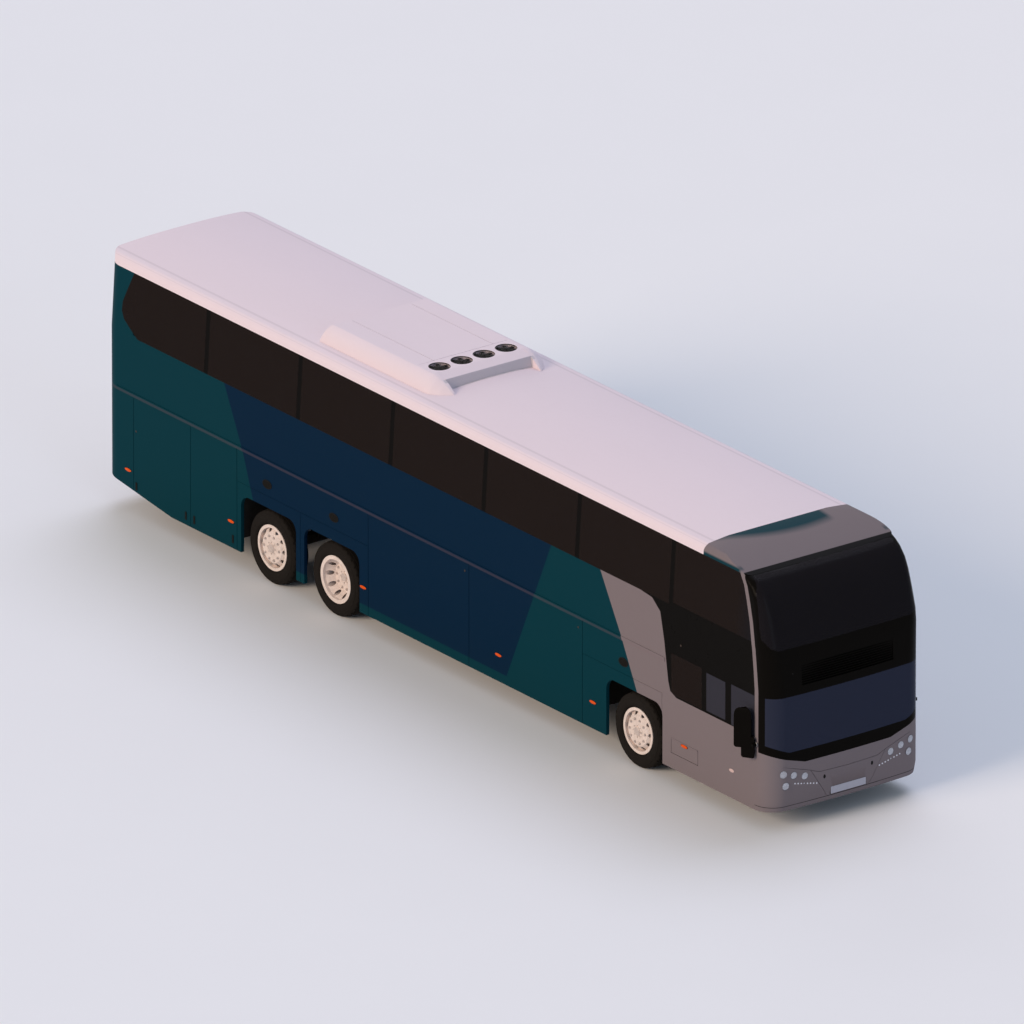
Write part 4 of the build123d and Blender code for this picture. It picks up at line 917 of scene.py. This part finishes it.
print("coach: mirrors")
mirror = {
    "panes": (                                      # plan ends of the rear face, heights
        ((6.776, 1.503), (6.855, 1.303), (1.215, 1.630)),
        ((6.849, 1.442), (6.925, 1.286), (1.060, 1.265)),
    ),
    "margin": 0.048, "collar": (7.015, 1.291, 1.205),
}
panes, collars = [], []
for side in (-1, 1):
    for outerEnd, innerEnd, (low, high) in mirror["panes"]:
        start = Vector((outerEnd[0], side * outerEnd[1], 0))
        along = Vector((innerEnd[0], side * innerEnd[1], 0)) - start
        length = along.length - 2 * mirror["margin"]
        rearward = Vector((-abs(along.y), -side * abs(along.x), 0)).normalized()
        corner = Vector((length / 2, 0.002, (high - low) / 2))
        pane = block("pane", -corner, corner, 0.0015)
        centre = start + along / 2 + rearward * 0.001 + Vector((0, 0, (low + high) / 2))
        panes.append(place(pane, (0, 0, math.atan2(along.y, along.x)), tuple(centre)))
    x, y, z = mirror["collar"]
    collar = closedRing("collar", 0.0285, 0.036, -0.007, 0.007, 0.002)
    collars.append(place(collar, awayY, (x, side * y, z)))
dress(joined(panes, "mirrorPanes"), paints["mirror_glass"], "coach")
dress(joined(collars, "mirrorCollars"), paints["bright_steel"], "coach")

print("coach: fan guards")
guard = {
    "x": -0.840, "y": (-0.549, -0.183, 0.183, 0.549), "z": 3.8275,
    "rings": (0.038, 0.068, 0.098, 0.128), "wire": 0.0016, "spokes": 8,
    "boss": [(0, 0), (0.024, 0), (0.024, 0.003), (0.020, 0.0055), (0, 0.0065)],
}
for index, y in enumerate(guard["y"]):
    wire = guard["wire"]
    parts = [closedRing("wire", r - wire, r + wire, 0, 0.003, 0.0008, 36) for r in guard["rings"]]
    parts.append(closedRing("outer", 0.1405, 0.1478, -0.002, 0.0055, 0.0015, 48))
    parts.append(turned("boss", guard["boss"], segments=28))
    spoke = block("spoke", (0.020, -0.0018, 0.0), (0.143, 0.0018, 0.0032), 0.0008, 1)
    parts += roundCopies(spoke, guard["spokes"], (0, 0, 0), "Z")
    piece = place(joined(parts, f"fanGuard_{index + 1}"), centre=(guard["x"], y, guard["z"]))
    dress(piece, paints["fan_plastic"], "coach")

print("coach: seats")
seats = {
    "firstX": 4.625, "pitch": 0.780, "rows": 15, "deck": 1.900, "pairY": 0.720, "seatY": 0.226,
    "lean": 11.6, "leanFrom": 0.42,
    "cushionAt": (0.015, 0.372), "backAt": (0.262, 0.655), "headAt": (0.262, 0.985),
    "cushion": (0.385, 0.430, 0.105), "back": (0.085, 0.430, 0.480), "head": (0.080, 0.270, 0.150),
}


def padForm(name, size, crown, pinch, channels=()):
    # a closed pad: crowned faces, sides pulled in between the corners, sewn channels across
    deselectAll()
    bpy.ops.mesh.primitive_cube_add(size=2)
    pad = bpy.context.object
    pad.name = name
    startEdit(pad)
    bpy.ops.mesh.select_all(action="SELECT")
    bpy.ops.mesh.subdivide(number_cuts=3)
    endEdit()
    long, wide, thick = size
    for vertex in pad.data.vertices:
        a, b, c = vertex.co
        swell = (1 - a * a) * (1 - b * b)
        lift = thick / 2 * c * (0.80 + crown * swell)
        for channel in channels:
            if abs(a - channel) < 0.1 and c > 0.9:
                lift -= thick * 0.10
        vertex.co = (
            long / 2 * a * (1 - pinch * (1 - b * b)) * (1 - 0.05 * c * c),
            wide / 2 * b * (1 - pinch * (1 - a * a)) * (1 - 0.04 * c * c),
            lift,
        )
    modify(pad, "SUBSURF", levels=1, render_levels=1)
    smooth(pad, 60)
    return pad


cushion = padForm("cushion", seats["cushion"], 0.20, 0.03, (0.0,))
backPad = padForm("backPad", (seats["back"][2], seats["back"][1], seats["back"][0]), 0.20, 0.03, (0.0, 0.5))
headPad = padForm("headPad", (seats["head"][2], seats["head"][1], seats["head"][0]), 0.22, 0.06)
upright = (0, math.radians(90 - seats["lean"]), 0)
seatParts = {"cushion": [], "back": [], "head": [], "frame": []}
doubleFrame = [
    block("leg", (-0.180, y - 0.018, 0.0), (-0.120, y + 0.018, 0.300), 0.006, 1) for y in (-0.300, 0.300)
]
doubleFrame.append(block("rail", (-0.185, -0.430, 0.275), (-0.135, 0.430, 0.312), 0.006, 1))
doubleFrame.append(block("foot", (-0.195, -0.330, 0.0), (-0.020, -0.270, 0.014), 0.004, 1))
doubleFrame.append(block("foot", (-0.195, 0.270, 0.0), (-0.020, 0.330, 0.014), 0.004, 1))
for y in (-0.226, 0.226):
    shell = block("shell", (-0.010, y - 0.205, -0.310), (0.006, y + 0.205, 0.330), 0.005, 1)
    doubleFrame.append(place(shell, (0, math.radians(-seats["lean"]), 0), (-0.382, 0, 0.745)))
for y in (-0.452, 0.452):
    doubleFrame.append(block("arm", (-0.290, y - 0.008, 0.560), (0.060, y + 0.008, 0.592), 0.006, 1))
doubleFrame = joined(doubleFrame, "doubleFrame")
for row in range(seats["rows"]):
    x = seats["firstX"] - row * seats["pitch"]
    for side in (-1, 1):
        if side == 1 and row == 0:
            continue
        pairY, deck = side * seats["pairY"], seats["deck"]
        seatParts["frame"].append(copyOf(doubleFrame, "frame", (x, pairY, deck)))
        for shift in (-seats["seatY"], seats["seatY"]):
            y = pairY + shift
            behind, above = seats["cushionAt"]
            seatParts["cushion"].append(copyOf(cushion, "cushion", (x - behind, y, deck + above)))
            for kind, pad in (("back", backPad), ("head", headPad)):
                behind, above = seats[kind + "At"]
                lean = math.tan(math.radians(seats["lean"])) * (above - seats["leanFrom"])
                copy = copyOf(pad, kind)
                seatParts[kind].append(place(copy, upright, (x - behind - lean, y, deck + above)))
cloth, slotName = paints["seat_fabric"], "seat_fabric"
dress(joined(seatParts["cushion"], "seatCushions"), cloth, "coach", ["passenger_seats"])
dress(joined(seatParts["back"], "seatBacks"), cloth, "coach")
dress(joined(seatParts["head"], "seatHeadrests"), paints["head_cloth"], "coach")
dress(joined(seatParts["frame"], "seatFrames"), paints["dash_plastic"], "coach")

driver = {"x": 5.825, "y": -0.620, "floor": 0.620, "widen": (1.08, 1.05, 1.0)}
parts = [copyOf(cushion, "driverCushion"), copyOf(backPad, "driverBack"), copyOf(headPad, "driverHead")]
for part in parts:
    scaled(part, driver["widen"])
place(parts[0], centre=(driver["x"] - 0.010, driver["y"], driver["floor"] + 0.390))
for part, along in ((parts[1], 0.680), (parts[2], 1.030)):
    lean = math.tan(math.radians(seats["lean"])) * (along - seats["leanFrom"])
    place(part, upright, (driver["x"] - 0.280 - lean, driver["y"], driver["floor"] + along))
driverPads = joined(parts, "driverPads")
dress(driverPads, cloth, "coach", ["driver_seat"])
x, y, z = driver["x"], driver["y"], driver["floor"]
parts = [
    block("base", (x - 0.280, y - 0.180, z), (x - 0.040, y + 0.180, z + 0.060), 0.010),
    block("column", (x - 0.230, y - 0.110, z + 0.055), (x - 0.090, y + 0.110, z + 0.290), 0.020),
    block("pan", (x - 0.280, y - 0.215, z + 0.285), (x + 0.170, y + 0.215, z + 0.335), 0.012),
]
shell = block("shell", (-0.012, -0.215, -0.320), (0.004, 0.215, 0.350), 0.005)
parts.append(place(shell, (0, math.radians(-seats["lean"]), 0), (x - 0.402, y, z + 0.780)))
dress(joined(parts, "driverSeatFrame"), paints["dash_plastic"], "coach")
for piece in (cushion, backPad, headPad, doubleFrame):
    removePiece(piece)

# camera, light and floor
print("coach: studio")
studio = {
    "azimuth": 53.03, "elevation": 21.92, "aim": (0.008, 0.008, 1.905), "frameWidth": 13.49,
    "lens": 1500.0, "sensor": 36.0,
    "floorTone": tone(238, 238, 240), "skyTone": tone(222, 222, 224), "floorSize": 500,
    "air": (0.78, 0.87, 1.0, 1), "airStrength": 0.38,
    "suns": {                                       # direction, strength, spread in degrees, colour
        "keySun": ((0.0, -1.0, 0.45), 2.12, 25, (1.0, 0.81, 0.63)),
        "topSun": ((-0.3, 0.5, 1.0), 1.1, 40, (0.77, 0.80, 1.0)),
        "noseSun": ((1.0, -0.1, 0.25), 0.4, 30, (0.6, 0.8, 1.0)),
        "tailSun": ((-1.0, 0.35, 0.3), 0.5, 40, (1.0, 1.0, 1.0)),
    },
}
azimuth, elevation = math.radians(studio["azimuth"]), math.radians(studio["elevation"])
back = Vector((
    math.sin(azimuth) * math.cos(elevation),
    -math.cos(azimuth) * math.cos(elevation),
    math.sin(elevation),
))
distance = studio["lens"] * studio["frameWidth"] / studio["sensor"]
bpy.ops.object.camera_add(location=Vector(studio["aim"]) + back * distance)
camera = bpy.context.object
camera.name = "viewCamera"
camera.data.lens = studio["lens"]
camera.data.sensor_width = studio["sensor"]
camera.data.clip_start = 1
camera.data.clip_end = 2000
camera.rotation_mode = "QUATERNION"
camera.rotation_quaternion = (-back).to_track_quat("-Z", "Y")
bpy.context.scene.camera = camera
bpy.context.scene.view_settings.view_transform = "Standard"
for name, (direction, strength, angle, colour) in studio["suns"].items():
    bpy.ops.object.light_add(type="SUN", location=(0, 0, 20))
    lamp = bpy.context.object
    lamp.name = name
    lamp.data.energy = strength
    lamp.data.angle = math.radians(angle)
    lamp.data.color = colour
    lamp.rotation_mode = "QUATERNION"
    lamp.rotation_quaternion = (-Vector(direction)).to_track_quat("-Z", "Y")

world = bpy.data.worlds.new("studioWorld")
bpy.context.scene.world = world
world.use_nodes = True
air = world.node_tree
sky = air.nodes["Background"]
sky.inputs["Color"].default_value = studio["air"]
sky.inputs["Strength"].default_value = studio["airStrength"]
show = air.nodes.new("ShaderNodeBackground")
show.inputs["Color"].default_value = studio["skyTone"]
show.inputs["Strength"].default_value = 1
rays = air.nodes.new("ShaderNodeLightPath")
seen = rays.outputs["Is Camera Ray"]
for ray in ("Is Glossy Ray", "Is Transmission Ray"):
    add = air.nodes.new("ShaderNodeMath")
    add.operation = "ADD"
    add.use_clamp = True
    air.links.new(seen, add.inputs[0])
    air.links.new(rays.outputs[ray], add.inputs[1])
    seen = add.outputs[0]
either = air.nodes.new("ShaderNodeMixShader")
air.links.new(seen, either.inputs[0])
air.links.new(sky.outputs[0], either.inputs[1])
air.links.new(show.outputs[0], either.inputs[2])
air.links.new(either.outputs[0], air.nodes["World Output"].inputs["Surface"])

deselectAll()
bpy.ops.mesh.primitive_plane_add(size=studio["floorSize"])
floor = bpy.context.object
floor.name = "studioFloor"
floorPaint = Paint("studioFloor", Specular_IOR_Level=0.0)
speck = floorPaint.noise(0.6, 3)
floorPaint.feed(Base_Color=floorPaint.mix(speck * 0.1, studio["floorTone"], tone(220, 220, 222)))
floorPaint.surface.inputs["Roughness"].default_value = 0.9
floor.data.materials.append(floorPaint.material)

print("coach: done")
